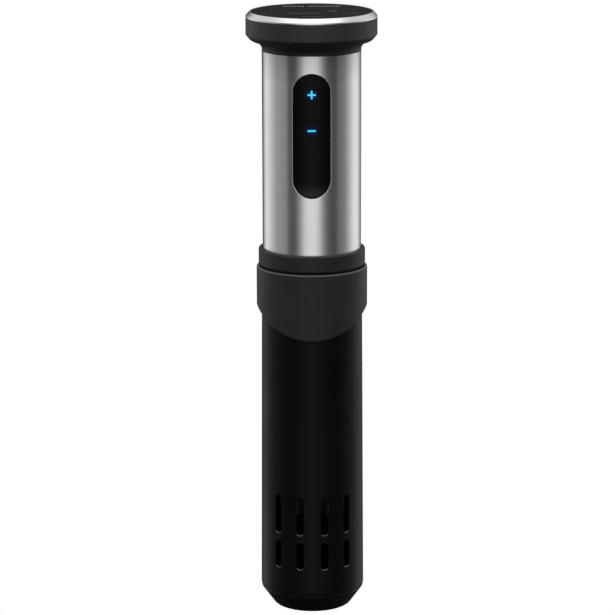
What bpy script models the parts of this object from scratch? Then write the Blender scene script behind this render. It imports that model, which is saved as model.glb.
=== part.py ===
"""Sous vide circulator: a slim stick with a display head, a steel grip tube, a swivelling pot clamp and a
slotted skirt over the heater and the pump.

Origin at the centre of the flat foot, +Z up along the stick, the touch panel faces -Y. Sizes are in
millimetres and become metres through MM. Run with: blender --background --python part.py
"""
import math

import bmesh
import bpy
from mathutils import Matrix, Vector

MM = 0.001

# ---------------------------------------------------------------- driving sizes, mm
GAP = 0.3               # between two pieces that touch
SLIDE = 0.45            # between two pieces that move on each other

ROUND = 40              # sides of a turned casing
SMALL = 12              # sides of a rod, a hole or a screw

# skirt and its end cap
CAP_HEIGHT = 12.9
CAP_WALL = 2.2
CAP_SPIGOT = 6.0
FOOT_R = 15.3
SKIRT_LENGTH = 175.7
SKIRT_STEP = 0.55        # skirt's top radius over the grip tube's radius
SKIRT_DRAFT = 1.0        # skirt's bottom radius over its top radius
SKIRT_WALL = 1.5
SLOT_WIDTH = 4.4
SLOT_ANGLES = (-41.5, -14.0, 14.0, 41.5)
LOW_SLOT_Z = 27.6
LOW_SLOT_HEIGHT = 15.1
SLOT_ROW_GAP = 4.5
HIGH_SLOT_HEIGHT = 21.4

# swivelling clamp sleeve
RETAINER_THICK = 1.2
RETAINER_REACH = 0.9     # retainer's radius over the sleeve lip's bore radius
RETAINER_SPLIT = 7.0
LIP_THICK = 2.3
SLEEVE_WALL = 2.3
SLEEVE_BORE_OVER = 0.55  # bore radius over the skirt's top radius
SLEEVE_RISE = 0.7        # how far the sleeve stands above its lip
SLEEVE_DROP = 36.7       # sleeve top to the lowest point of its curved edge
APRON_ARC_OVER = 7.5     # apron arc's radius over the sleeve's radius
BOSS_STAND = 1.5         # boss face behind the sleeve's back
BOSS_WIDTH = 24.0
BOSS_DROP = 27.0
BOSS_TOP_DROP = 3.5

# bulkhead that closes the dry side
FLANGE_THICK = 1.35
SPIGOT_UP = 10.2
SPIGOT_DOWN = 15.3
SPIGOT_WALL = 3.0
SEAL_RADIUS = 0.95
SEAL_DROP = 9.4
BEARING_R = 6.5
BEARING_HEIGHT = 6.0
LIP_SEAL_R = 7.0
LIP_SEAL_HEIGHT = 5.7

# grip tube, upper collar, touch panel
TUBE_R = 26.85
TUBE_WALL = 0.8
TUBE_LENGTH = 117.0
COLLAR_THICK = 2.25      # upper collar's radius over the grip tube's
COLLAR_HEIGHT = 8.8
PANEL_WIDTH = 20.3
PANEL_HEIGHT = 67.45
PANEL_BOTTOM = 40.2      # tube's lower end to the panel cut-out
PANEL_THICK = 1.8
PLUS_BELOW_TOP = 11.15   # cut-out's top to the middle of the plus key
KEY_PITCH = 19.4
GUIDE_SIZE = 5.2
TOUCH_BOARD_DEPTH = 6.2  # grip tube's front to the back of the touch board
GLAND_BELOW_TOP = 20.0
GLAND_DEPTH = 7.6        # grip tube's back to the gland's inner end
GLAND_R = 5.0
GLAND_BORE_R = 3.1
GLAND_FLANGE_R = 7.5

# display head
HEAD_OVERHANG = 8.7      # head's radius over the grip tube's
HEAD_HEIGHT = 17.35
HEAD_UNDERSIDE = 8.3     # height of the flared underside
HEAD_WALL = 2.4
HEAD_FLOOR = 9.3         # neck to the shelf that carries the display board
HEAD_BORE_R = 22.5
HEAD_SPIGOT = 6.0
RING_HEIGHT = 3.1
RING_CHAMFER = 2.5
RING_SPIGOT = 3.1
RING_LEDGE = 1.8
LENS_THICK = 1.6
LENS_RECESS = 0.1
BOARD_THICK = 1.6

# drive, dry side
SHAFT_R = 2.0
STANDOFF_R = 2.5
STANDOFF_RING_R = 18.0
STANDOFF_LENGTH = 25.6
STANDOFF_ANGLES = (40.0, 160.0, 280.0)
MOUNT_THICK = 2.5
RAIL_X = 10.0
RAIL_WIDTH = 4.0
RAIL_DEPTH = 8.6         # grip tube's back to the middle of the rails
MOTOR_R = 15.0
MOTOR_WALL = 1.5
MOTOR_HEIGHT = 33.0
MOTOR_CAP_HEIGHT = 3.6
ROTOR_R = 11.5
ROTOR_HEIGHT = 24.0
COUPLING_R = 5.5
COUPLING_LENGTH = 12.0
COUPLING_RISE = 10.7     # bulkhead floor to the coupling
MOTOR_SCREW_X = 9.0
MAIN_BOARD_WIDTH = 36.0
MAIN_BOARD_HEIGHT = 40.0

# heater, sensors and pump, wet side
ROD_CLEAR = 4.8          # skirt's bore at the top to the ring of rods
ROD_ANGLES = (30.0, 150.0, 270.0)
ROD_R = 2.3
ROD_END_R = 1.5
ROD_HEAD_R = 2.9
ROD_HEAD_HEIGHT = 2.5
ROD_GRIP = 8.0           # how far a rod's end goes into the bulkhead
PLATE_THICK = 4.0
PLATE_CLEAR = 1.4        # skirt's bore at the top to the pump plate's edge
SHAFT_TUBE_WALL = 1.6
BUSHING_R = 5.0
HEATER_WIRE_R = 2.9
HEATER_COIL_R = 13.0
HEATER_PITCH = 11.5
HEATER_CLEAR = 17.0      # pump plate to the lowest turn, at least
HEATER_START_ANGLE = 28.0
HEATER_TOP_DROP = 26.0
HEATER_BEND_R = 7.0
HEATER_RUN_OUT = 7.5
TERMINAL_RISE = 3.5
PROBE_R = 1.6
PROBE_CLEAR = 7.7        # pump plate to the probe's tip
LEVEL_ROD_R = 1.3
LEVEL_CLEAR = 13.7       # pump plate to the long level rod's tip
LEVEL_SHORT = 22.0
IMPELLER_R = 18.5
IMPELLER_DROP = 8.0      # plate's lower face to the impeller's disc
IMPELLER_OVER_SLOTS = 3.7
IMPELLER_DISC = 2.4
BLADE_HEIGHT = 14.0
BLADE_THICK = 1.6
BLADE_COUNT = 6
HUB_R = 4.5
HUB_HEIGHT = 22.0
NUT_R = 4.0
NUT_HEIGHT = 3.2

# pot clamp behind the sleeve
BRACKET_THICK = 3.0
BRACKET_HANG = 42.0      # bracket's tongue below the hinge pin's ears
EAR_THICK = 2.6
EAR_R = 5.0
HINGE_DROP = 13.7        # sleeve's top to the hinge pin
HINGE_BACK = 9.0         # bracket's rear face to the hinge pin
PIN_R = 1.5
PIN_HEAD_R = 2.5
PIN_HEAD_THICK = 1.0
PAD_THICK = 2.0
PAD_HEIGHT = 20.0
PAD_WIDTH = 18.0
JAW_GAP = 2.6
LEVER_THICK = 3.0
LEVER_WIDTH = 18.0
LEVER_HUB_R = 4.4
TAB_LENGTH = 33.0
TAB_LEAN = 10.0
SPRING_WIRE_R = 0.45
SPRING_COIL_R = 2.6
SPRING_TURNS = 4.25
SPRING_PITCH = 1.25
SPRING_WINDOW = 7.6
SCREW_R = 1.3
SCREW_HEAD_R = 2.7
SCREW_HEAD_HEIGHT = 1.9

# ---------------------------------------------------------------- derived places, mm
SKIRT_TOP_R = TUBE_R + SKIRT_STEP
SKIRT_BOTTOM_R = SKIRT_TOP_R + SKIRT_DRAFT
SKIRT_BORE_R = SKIRT_TOP_R - SKIRT_WALL
COLLAR_R = TUBE_R + COLLAR_THICK
HEAD_R = TUBE_R + HEAD_OVERHANG
SKIRT_Z0 = CAP_HEIGHT + GAP
SKIRT_Z1 = SKIRT_Z0 + SKIRT_LENGTH
RETAINER_Z0 = SKIRT_Z1 + GAP
RETAINER_Z1 = RETAINER_Z0 + RETAINER_THICK
LIP_Z0 = RETAINER_Z1 + GAP
LIP_Z1 = LIP_Z0 + LIP_THICK
SLEEVE_TOP_Z = LIP_Z1 + SLEEVE_RISE
APRON_Z = SLEEVE_TOP_Z - SLEEVE_DROP
FLANGE_Z0 = LIP_Z1 + GAP
FLANGE_Z1 = FLANGE_Z0 + FLANGE_THICK
BULK_TOP_Z = FLANGE_Z1 + SPIGOT_UP
BULK_LOW_Z = FLANGE_Z0 - SPIGOT_DOWN
TUBE_Z0 = FLANGE_Z1 + GAP
TUBE_Z1 = TUBE_Z0 + TUBE_LENGTH
TUBE_IN_R = TUBE_R - TUBE_WALL
PANEL_Z0 = TUBE_Z0 + PANEL_BOTTOM
PANEL_Z1 = PANEL_Z0 + PANEL_HEIGHT
PLUS_Z = PANEL_Z1 - PLUS_BELOW_TOP
MINUS_Z = PLUS_Z - KEY_PITCH
HEAD_Z0 = TUBE_Z1 + GAP
HEAD_Z1 = HEAD_Z0 + HEAD_HEIGHT
SHELF_Z = HEAD_Z0 + HEAD_FLOOR
RING_Z0 = HEAD_Z1 + GAP
RING_Z1 = RING_Z0 + RING_HEIGHT
RING_SPIGOT_R = HEAD_R - HEAD_WALL - GAP
RING_BORE_R = HEAD_R - RING_CHAMFER
RING_LEDGE_R = RING_BORE_R - RING_LEDGE
LENS_Z1 = RING_Z1 - LENS_RECESS
LENS_Z0 = LENS_Z1 - LENS_THICK
SPIGOT_R = SKIRT_BORE_R - GAP - 0.1
FLANGE_R = SKIRT_TOP_R
SLEEVE_BORE_R = SKIRT_TOP_R + SLEEVE_BORE_OVER
SLEEVE_R = SLEEVE_BORE_R + SLEEVE_WALL
APRON_ARC_R = SLEEVE_R + APRON_ARC_OVER
BOSS_FACE_Y = SLEEVE_R + BOSS_STAND
LIP_BORE_R = SPIGOT_R + SLIDE + 0.35
RETAINER_R = LIP_BORE_R + RETAINER_REACH
TOUCH_BOARD_Y = TUBE_R - TOUCH_BOARD_DEPTH
RAIL_Y = TUBE_R - RAIL_DEPTH
ROD_RING_R = SKIRT_BORE_R - ROD_CLEAR
PLATE_R = SKIRT_BORE_R - PLATE_CLEAR
SHAFT_BORE_R = SHAFT_R + GAP
MOUNT_Z0 = FLANGE_Z1 + GAP + STANDOFF_LENGTH + GAP
MOUNT_Z1 = MOUNT_Z0 + MOUNT_THICK
MOTOR_Z0 = MOUNT_Z1 + GAP
MOTOR_Z1 = MOTOR_Z0 + MOTOR_HEIGHT
MOTOR_CAP_Z1 = MOTOR_Z1 + GAP + MOTOR_CAP_HEIGHT
COUPLING_Z0 = FLANGE_Z1 + COUPLING_RISE
COUPLING_MID_Z = COUPLING_Z0 + COUPLING_LENGTH / 2
MAIN_BOARD_Z0 = MOTOR_CAP_Z1 + 3.0
RAIL_TOP_Z = MAIN_BOARD_Z0 + MAIN_BOARD_HEIGHT
RAIL_FACE_Y = RAIL_Y - RAIL_WIDTH / 2
MAIN_BOARD_Y1 = RAIL_FACE_Y - GAP
MAIN_BOARD_Y0 = MAIN_BOARD_Y1 - BOARD_THICK
HIGH_SLOT_Z = LOW_SLOT_Z + LOW_SLOT_HEIGHT + SLOT_ROW_GAP
IMPELLER_Z1 = HIGH_SLOT_Z + HIGH_SLOT_HEIGHT + IMPELLER_OVER_SLOTS
PLATE_Z0 = IMPELLER_Z1 + IMPELLER_DROP
PLATE_Z1 = PLATE_Z0 + PLATE_THICK
HEATER_TOP_Z = BULK_LOW_Z - HEATER_TOP_DROP
HEATER_TURNS = int((HEATER_TOP_Z - PLATE_Z1 - HEATER_CLEAR) / HEATER_PITCH)
HUB_Z1 = IMPELLER_Z1 + 1.8
HUB_Z0 = HUB_Z1 - HUB_HEIGHT
NUT_Z1 = HUB_Z0 - GAP
NUT_Z0 = NUT_Z1 - NUT_HEIGHT
SHAFT_Z0 = NUT_Z0 - 1.2
BRACKET_Y0 = BOSS_FACE_Y + GAP
BRACKET_Y1 = BRACKET_Y0 + BRACKET_THICK
HINGE_Y = BRACKET_Y1 + HINGE_BACK
HINGE_Z = SLEEVE_TOP_Z - HINGE_DROP
BRACKET_TOP_Z = SLEEVE_TOP_Z - BOSS_TOP_DROP
BRACKET_LOW_Z = HINGE_Z - BRACKET_HANG - EAR_R - GAP
PAD_Y0 = BRACKET_Y1 + GAP
PAD_Y1 = PAD_Y0 + PAD_THICK
LEVER_PAD_Y0 = PAD_Y1 + JAW_GAP
LEVER_PAD_Y1 = LEVER_PAD_Y0 + PAD_THICK
LEVER_Y0 = LEVER_PAD_Y1 + GAP
LEVER_Y1 = LEVER_Y0 + LEVER_THICK
PAD_Z0 = BRACKET_LOW_Z + 2.0
PAD_Z1 = PAD_Z0 + PAD_HEIGHT
EAR_X0 = LEVER_WIDTH / 2 + SLIDE
EAR_X1 = EAR_X0 + EAR_THICK


# ---------------------------------------------------------------- materials
def make_material(name, colour, roughness, metallic=0.0):
    mat = bpy.data.materials.new(name)
    mat.use_nodes = True
    shader = mat.node_tree.nodes["Principled BSDF"]
    shader.inputs["Base Color"].default_value = (*colour, 1.0)
    shader.inputs["Roughness"].default_value = roughness
    shader.inputs["Metallic"].default_value = metallic
    mat.diffuse_color = (*colour, 1.0)
    return mat


FINISHES = {
    "soft_black": ((0.030, 0.030, 0.034), 0.62, 0.0),
    "satin_black": ((0.008, 0.008, 0.009), 0.34, 0.0),
    "gloss_black": ((0.010, 0.010, 0.011), 0.08, 0.0),
    "brushed_steel": ((0.58, 0.58, 0.58), 0.28, 1.0),
    "satin_silver": ((0.66, 0.66, 0.67), 0.30, 1.0),
    "bright_steel": ((0.62, 0.62, 0.62), 0.20, 1.0),
    "white_plastic": ((0.55, 0.55, 0.53), 0.45, 0.0),
    "dark_plastic": ((0.040, 0.042, 0.045), 0.50, 0.0),
    "circuit_board": ((0.020, 0.120, 0.050), 0.45, 0.0),
    "blue_light": ((0.020, 0.480, 0.900), 0.40, 0.0),
    "rubber": ((0.020, 0.020, 0.020), 0.80, 0.0),
    "brass": ((0.62, 0.44, 0.16), 0.30, 1.0),
    "yellow_tape": ((0.60, 0.42, 0.06), 0.50, 0.0),
}


# ---------------------------------------------------------------- mesh helpers
def clear_scene():
    for obj in list(bpy.data.objects):
        bpy.data.objects.remove(obj, do_unlink=True)


def finish_mesh(bm, name):
    """Weld, face outwards, round off the shading and hand back a mesh in metres."""
    bmesh.ops.remove_doubles(bm, verts=bm.verts, dist=1e-4)
    bmesh.ops.dissolve_degenerate(bm, edges=bm.edges, dist=1e-4)
    bmesh.ops.recalc_face_normals(bm, faces=bm.faces)
    bmesh.ops.scale(bm, vec=(MM, MM, MM), verts=bm.verts)
    mesh = bpy.data.meshes.new(name)
    bm.to_mesh(mesh)
    bm.free()
    mesh.shade_smooth()
    mesh.set_sharp_from_angle(angle=math.radians(35))
    return mesh


def place(name, bm, finish, parent, at=(0.0, 0.0, 0.0)):
    """Make an object from a bmesh modelled around its own origin, at a world place in mm."""
    obj = bpy.data.objects.new(name, finish_mesh(bm, name))
    bpy.context.scene.collection.objects.link(obj)
    obj.data.materials.append(MATERIALS[finish])
    obj.parent = parent
    obj.location = Vector(at) * MM - (parent.location if parent else Vector())
    return obj


def cutter(name, bm):
    obj = bpy.data.objects.new(name, finish_mesh(bm, name))
    bpy.context.scene.collection.objects.link(obj)
    obj.hide_render = True
    obj.display_type = "WIRE"
    return obj


def cut(obj, tool, operation="DIFFERENCE"):
    mod = obj.modifiers.new(tool.name, "BOOLEAN")
    mod.operation = operation
    mod.solver = "EXACT"
    mod.object = tool


def joint_empty(name, at, parent=None):
    obj = bpy.data.objects.new(name, None)
    bpy.context.scene.collection.objects.link(obj)
    obj.location = Vector(at) * MM
    if parent:
        obj.parent = parent
        obj.location -= parent.location
    return obj


def turned(profile, sides=ROUND, axis="Z"):
    """Spin a profile of (radius, height) points; it closes on itself unless it ends on the axis."""
    bm = bmesh.new()
    verts = [bm.verts.new((r, 0.0, z)) for r, z in profile]
    edges = [bm.edges.new(pair) for pair in zip(verts, verts[1:])]
    if profile[0][0] > 0 or profile[-1][0] > 0:
        edges.append(bm.edges.new((verts[-1], verts[0])))
    bmesh.ops.spin(bm, geom=verts + edges, axis=(0, 0, 1), cent=(0, 0, 0), steps=sides,
                   angle=2 * math.pi, use_merge=True)
    turn = {"Z": Matrix.Identity(3), "X": Matrix.Rotation(math.pi / 2, 3, "Y"),
            "Y": Matrix.Rotation(-math.pi / 2, 3, "X")}[axis]
    bmesh.ops.transform(bm, matrix=turn.to_4x4(), verts=bm.verts)
    return bm


def ring(inner, outer, z0, z1, sides=ROUND):
    return turned([(outer, z1), (outer, z0), (inner, z0), (inner, z1)], sides)


def rod(radius, z0, z1, sides=SMALL, axis="Z"):
    return turned([(0, z1), (radius, z1), (radius, z0), (0, z0)], sides, axis)


def box(low, high, bevel=0.0, along=None):
    """A box between two corners, with the edges along one axis rounded off."""
    bm = bmesh.new()
    bmesh.ops.create_cube(bm, size=1.0)
    size = [h - l for l, h in zip(low, high)]
    middle = [(h + l) / 2 for l, h in zip(low, high)]
    bmesh.ops.scale(bm, vec=size, verts=bm.verts)
    bmesh.ops.translate(bm, vec=middle, verts=bm.verts)
    if bevel and along is not None:
        edges = [e for e in bm.edges if abs((e.verts[0].co - e.verts[1].co)[along]) > 1e-6]
        bmesh.ops.bevel(bm, geom=edges, offset=bevel, segments=3, profile=0.5, affect="EDGES")
    return bm


def merged(*parts):
    """Several closed bodies in one bmesh, for use as one cutter or before a union."""
    joined = bmesh.new()
    for part in parts:
        mesh = bpy.data.meshes.new("scratch")
        part.to_mesh(mesh)
        part.free()
        joined.from_mesh(mesh)
        bpy.data.meshes.remove(mesh)
    return joined


def moved(bm, vec):
    bmesh.ops.translate(bm, vec=vec, verts=bm.verts)
    return bm


def spun(bm, degrees, axis="Z", about=(0, 0, 0)):
    matrix = Matrix.Rotation(math.radians(degrees), 3, axis)
    bmesh.ops.rotate(bm, cent=about, matrix=matrix, verts=bm.verts)
    return bm


def stadium(width, z0, z1, y0, y1, end_steps=8):
    """A prism along Y whose outline is an upright slot with round ends."""
    half = width / 2
    bm = bmesh.new()
    outline = []
    for middle, start in ((z1 - half, 0.0), (z0 + half, math.pi)):
        for step in range(end_steps + 1):
            angle = start + math.pi * step / end_steps
            outline.append((half * math.cos(angle), y0, middle + half * math.sin(angle)))
    face = bm.faces.new([bm.verts.new(point) for point in outline])
    out = bmesh.ops.extrude_face_region(bm, geom=[face])
    top = [v for v in out["geom"] if isinstance(v, bmesh.types.BMVert)]
    bmesh.ops.translate(bm, vec=(0, y1 - y0, 0), verts=top)
    return bm


def polar(radius, degrees):
    """X and Y of a point on a ring, by its angle from +X."""
    angle = math.radians(degrees)
    return radius * math.cos(angle), radius * math.sin(angle)


def wire(name, points, radius, finish, parent, at=(0.0, 0.0, 0.0), resolution=2):
    """A round wire along points, as a POLY curve with filled ends."""
    curve = bpy.data.curves.new(name, "CURVE")
    curve.dimensions = "3D"
    curve.bevel_depth = radius * MM
    curve.bevel_resolution = resolution
    curve.use_fill_caps = True
    spline = curve.splines.new("POLY")
    spline.points.add(len(points) - 1)
    for target, point in zip(spline.points, points):
        target.co = (*(Vector(point) * MM), 1.0)
    obj = bpy.data.objects.new(name, curve)
    bpy.context.scene.collection.objects.link(obj)
    curve.materials.append(MATERIALS[finish])
    obj.parent = parent
    obj.location = Vector(at) * MM - (parent.location if parent else Vector())
    return obj


# ---------------------------------------------------------------- display head
def head_shell(parent):
    """Soft-touch cup: straight side, flared underside, neck spigot inside the grip tube."""
    under = HEAD_Z0 + HEAD_UNDERSIDE
    neck = TUBE_R
    profile = [(HEAD_R, HEAD_Z1), (HEAD_R, under), (HEAD_R - 0.5, under - 1.1), (HEAD_R - 1.9, under - 2.2),
               (HEAD_R - 3.7, under - 3.1), (neck + 2.6, under - 4.2), (neck + 0.9, under - 5.0),
               (neck + 0.15, under - 6.3), (neck, HEAD_Z0)]
    profile += [(TUBE_IN_R - GAP, HEAD_Z0), (TUBE_IN_R - GAP, HEAD_Z0 - HEAD_SPIGOT),
                (HEAD_BORE_R, HEAD_Z0 - HEAD_SPIGOT), (HEAD_BORE_R, SHELF_Z),
                (HEAD_R - HEAD_WALL, SHELF_Z), (HEAD_R - HEAD_WALL, HEAD_Z1)]
    place("head_shell", turned(profile), "soft_black", parent)


def display_ring(parent):
    """Chamfered metal ring with a ledge for the lens and a spigot inside the head."""
    low = RING_Z0 - RING_SPIGOT
    profile = [(RING_BORE_R, RING_Z1), (HEAD_R, RING_Z1 - RING_CHAMFER), (HEAD_R, RING_Z0),
               (RING_SPIGOT_R, RING_Z0), (RING_SPIGOT_R, low), (RING_LEDGE_R, low),
               (RING_LEDGE_R, LENS_Z0 - GAP), (RING_BORE_R, LENS_Z0 - GAP)]
    place("display_ring", turned(profile), "satin_silver", parent)


def display_stack(parent):
    place("display_lens", rod(RING_BORE_R - GAP, LENS_Z0, LENS_Z1, ROUND), "gloss_black", parent)
    board_z0 = SHELF_Z + GAP
    board_z1 = board_z0 + BOARD_THICK
    place("display_board", rod(HEAD_R - HEAD_WALL - 1.2, board_z0, board_z1, 24), "circuit_board", parent)
    top = LENS_Z0 - GAP - 0.3
    place("led_display", box((-17, -10, board_z1 + GAP), (17, 6, top)), "dark_plastic", parent)
    place("buzzer", moved(rod(5.0, board_z1 + GAP, board_z1 + GAP + 4.0, 16), (0, 15, 0)), "dark_plastic",
          parent)


# ---------------------------------------------------------------- grip tube
def steel_tube(parent):
    tube = place("steel_tube", ring(TUBE_IN_R, TUBE_R, TUBE_Z0, TUBE_Z1), "brushed_steel", parent)
    window = stadium(PANEL_WIDTH, PANEL_Z0, PANEL_Z1, -TUBE_R - 5, -TUBE_R / 3)
    gland_z = TUBE_Z1 - GLAND_BELOW_TOP
    hole = moved(rod(GLAND_R + GAP, 10, TUBE_R + 6, 16, "Y"), (0, 0, gland_z))
    cut(tube, cutter("tube_cutter", merged(window, hole)))


def touch_panel(parent):
    """Curved gloss panel, flush in the tube's cut-out."""
    panel = place("touch_panel", ring(TUBE_R - PANEL_THICK, TUBE_R, PANEL_Z0 - 3, PANEL_Z1 + 3, 80),
                  "gloss_black", parent)
    outline = stadium(PANEL_WIDTH - 2 * GAP, PANEL_Z0 + GAP, PANEL_Z1 - GAP, -TUBE_R - 5, -TUBE_R / 3)
    cut(panel, cutter("panel_outline", outline), "INTERSECT")


def touch_electronics(parent):
    half = PANEL_WIDTH / 2 - 1.8
    board = box((-half, -TOUCH_BOARD_Y - BOARD_THICK, PANEL_Z0 + 3), (half, -TOUCH_BOARD_Y, PANEL_Z1 - 3))
    place("touch_board", board, "circuit_board", parent)
    back = math.sqrt((TUBE_R - PANEL_THICK) ** 2 - (GUIDE_SIZE / 2) ** 2) - GAP
    for name, z in (("plus_light_guide", PLUS_Z), ("minus_light_guide", MINUS_Z)):
        low = (-GUIDE_SIZE / 2, -back, z - GUIDE_SIZE / 2)
        high = (GUIDE_SIZE / 2, -TOUCH_BOARD_Y - BOARD_THICK - GAP, z + GUIDE_SIZE / 2)
        place(name, box(low, high), "blue_light", parent)


def cord_gland(parent):
    """Grommet at the back: a saddle flange on the tube, a neck inside and a short tapered nose."""
    z = TUBE_Z1 - GLAND_BELOW_TOP
    face = TUBE_R + GAP
    saddle = rod(GLAND_FLANGE_R, face - 5, face + 2.2, 20, "Y")
    gland = place("cord_gland", saddle, "rubber", parent, (0, 0, z))
    tube_space = moved(rod(face, -20, 20, 80), (0, 0, z))
    cut(gland, cutter("gland_saddle", tube_space))
    inner = TUBE_R - GLAND_DEPTH
    core = turned([(0, face + 11), (GLAND_R - 1.2, face + 11), (GLAND_R, face + 1), (GLAND_R, inner),
                   (0, inner)], 16, "Y")
    cut(gland, cutter("gland_core", moved(core, (0, 0, z))), "UNION")
    cut(gland, cutter("gland_bore", moved(rod(GLAND_BORE_R, inner - 4, face + 15, 16, "Y"), (0, 0, z))))


def upper_collar(parent):
    top = TUBE_Z0 + COLLAR_HEIGHT
    bore = TUBE_R + GAP
    profile = [(COLLAR_R - 1.3, top), (COLLAR_R - 0.5, top - 0.4), (COLLAR_R, top - 1.3),
               (COLLAR_R, TUBE_Z0 + 0.7), (COLLAR_R - 0.5, TUBE_Z0), (bore, TUBE_Z0), (bore, top)]
    place("upper_collar", turned(profile), "soft_black", parent)


# ---------------------------------------------------------------- bulkhead
def through_pieces():
    """What passes through the bulkhead: place on the ring and radius of each piece."""
    start = math.degrees(math.atan2(HEATER_BEND_R, HEATER_COIL_R))
    end = math.degrees(math.atan2(HEATER_BEND_R + HEATER_RUN_OUT, HEATER_COIL_R))
    start_r = math.hypot(HEATER_COIL_R, HEATER_BEND_R)
    end_r = math.hypot(HEATER_COIL_R, HEATER_BEND_R + HEATER_RUN_OUT)
    return {
        "heater_start": (start_r, HEATER_START_ANGLE - start, HEATER_WIRE_R),
        "heater_end": (end_r, HEATER_START_ANGLE + end, HEATER_WIRE_R),
        "probe": (ROD_RING_R, 120.0, PROBE_R),
        "level_long": (ROD_RING_R, 200.0, LEVEL_ROD_R),
        "level_short": (ROD_RING_R, 232.0, LEVEL_ROD_R),
    }


def bulkhead(parent):
    """Plug between the dry side and the water, with seats for the bearing and both seals."""
    seal_z = FLANGE_Z0 - SEAL_DROP
    groove_r = SPIGOT_R - 2 * SEAL_RADIUS - 0.3
    groove_half = SEAL_RADIUS + 0.35
    retainer_seat = SPIGOT_R - 1.0
    lip_seat = FLANGE_Z1 - BEARING_HEIGHT - 2 * GAP
    seal_seat = BULK_LOW_Z + LIP_SEAL_HEIGHT + 2 * GAP
    upper_r = TUBE_IN_R - GAP
    profile = [(upper_r, BULK_TOP_Z), (upper_r, FLANGE_Z1), (FLANGE_R, FLANGE_Z1), (FLANGE_R, FLANGE_Z0),
               (SPIGOT_R + 0.3, FLANGE_Z0), (SPIGOT_R + 0.3, RETAINER_Z1 + 0.1),
               (retainer_seat, RETAINER_Z1 + 0.1), (retainer_seat, RETAINER_Z0 - 0.1),
               (SPIGOT_R, RETAINER_Z0 - 0.1), (SPIGOT_R, seal_z + groove_half),
               (groove_r, seal_z + groove_half), (groove_r, seal_z - groove_half),
               (SPIGOT_R, seal_z - groove_half), (SPIGOT_R, BULK_LOW_Z),
               (LIP_SEAL_R + GAP, BULK_LOW_Z), (LIP_SEAL_R + GAP, seal_seat), (SHAFT_R + 0.6, seal_seat),
               (SHAFT_R + 0.6, lip_seat), (BEARING_R + GAP, lip_seat), (BEARING_R + GAP, FLANGE_Z1),
               (upper_r - SPIGOT_WALL, FLANGE_Z1), (upper_r - SPIGOT_WALL, BULK_TOP_Z)]
    body = place("bulkhead", turned(profile), "dark_plastic", parent)
    holes = []
    for radius, angle, size in through_pieces().values():
        x, y = polar(radius, angle)
        holes.append(moved(rod(size + GAP, BULK_LOW_Z - 5, FLANGE_Z1 + 5), (x, y, 0)))
    for angle in ROD_ANGLES:
        x, y = polar(ROD_RING_R, angle)
        holes.append(moved(rod(ROD_END_R + GAP, BULK_LOW_Z - 5, BULK_LOW_Z + ROD_GRIP + 1), (x, y, 0)))
    cut(body, cutter("bulkhead_holes", merged(*holes)))
    seal = turned([(SPIGOT_R + 0.1 - SEAL_RADIUS * (1 - math.cos(a)), seal_z - SEAL_RADIUS * math.sin(a))
                   for a in (math.pi * k / 3 for k in range(6))])
    place("body_seal", seal, "rubber", parent)
    retainer = place("sleeve_retainer", ring(retainer_seat + GAP, RETAINER_R, RETAINER_Z0, RETAINER_Z1),
                     "bright_steel", parent)
    half = RETAINER_SPLIT / 2
    split = box((-half, 0, RETAINER_Z0 - 3), (half, RETAINER_R + 5, RETAINER_Z1 + 3))
    cut(retainer, cutter("retainer_split", split))
    bearing_z = lip_seat + GAP
    place("shaft_bearing", ring(SHAFT_BORE_R, BEARING_R, bearing_z, bearing_z + BEARING_HEIGHT, 20),
          "bright_steel", parent)
    seal_low = BULK_LOW_Z + GAP
    place("shaft_seal", ring(SHAFT_BORE_R, LIP_SEAL_R, seal_low, seal_low + LIP_SEAL_HEIGHT, 20),
          "rubber", parent)


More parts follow.
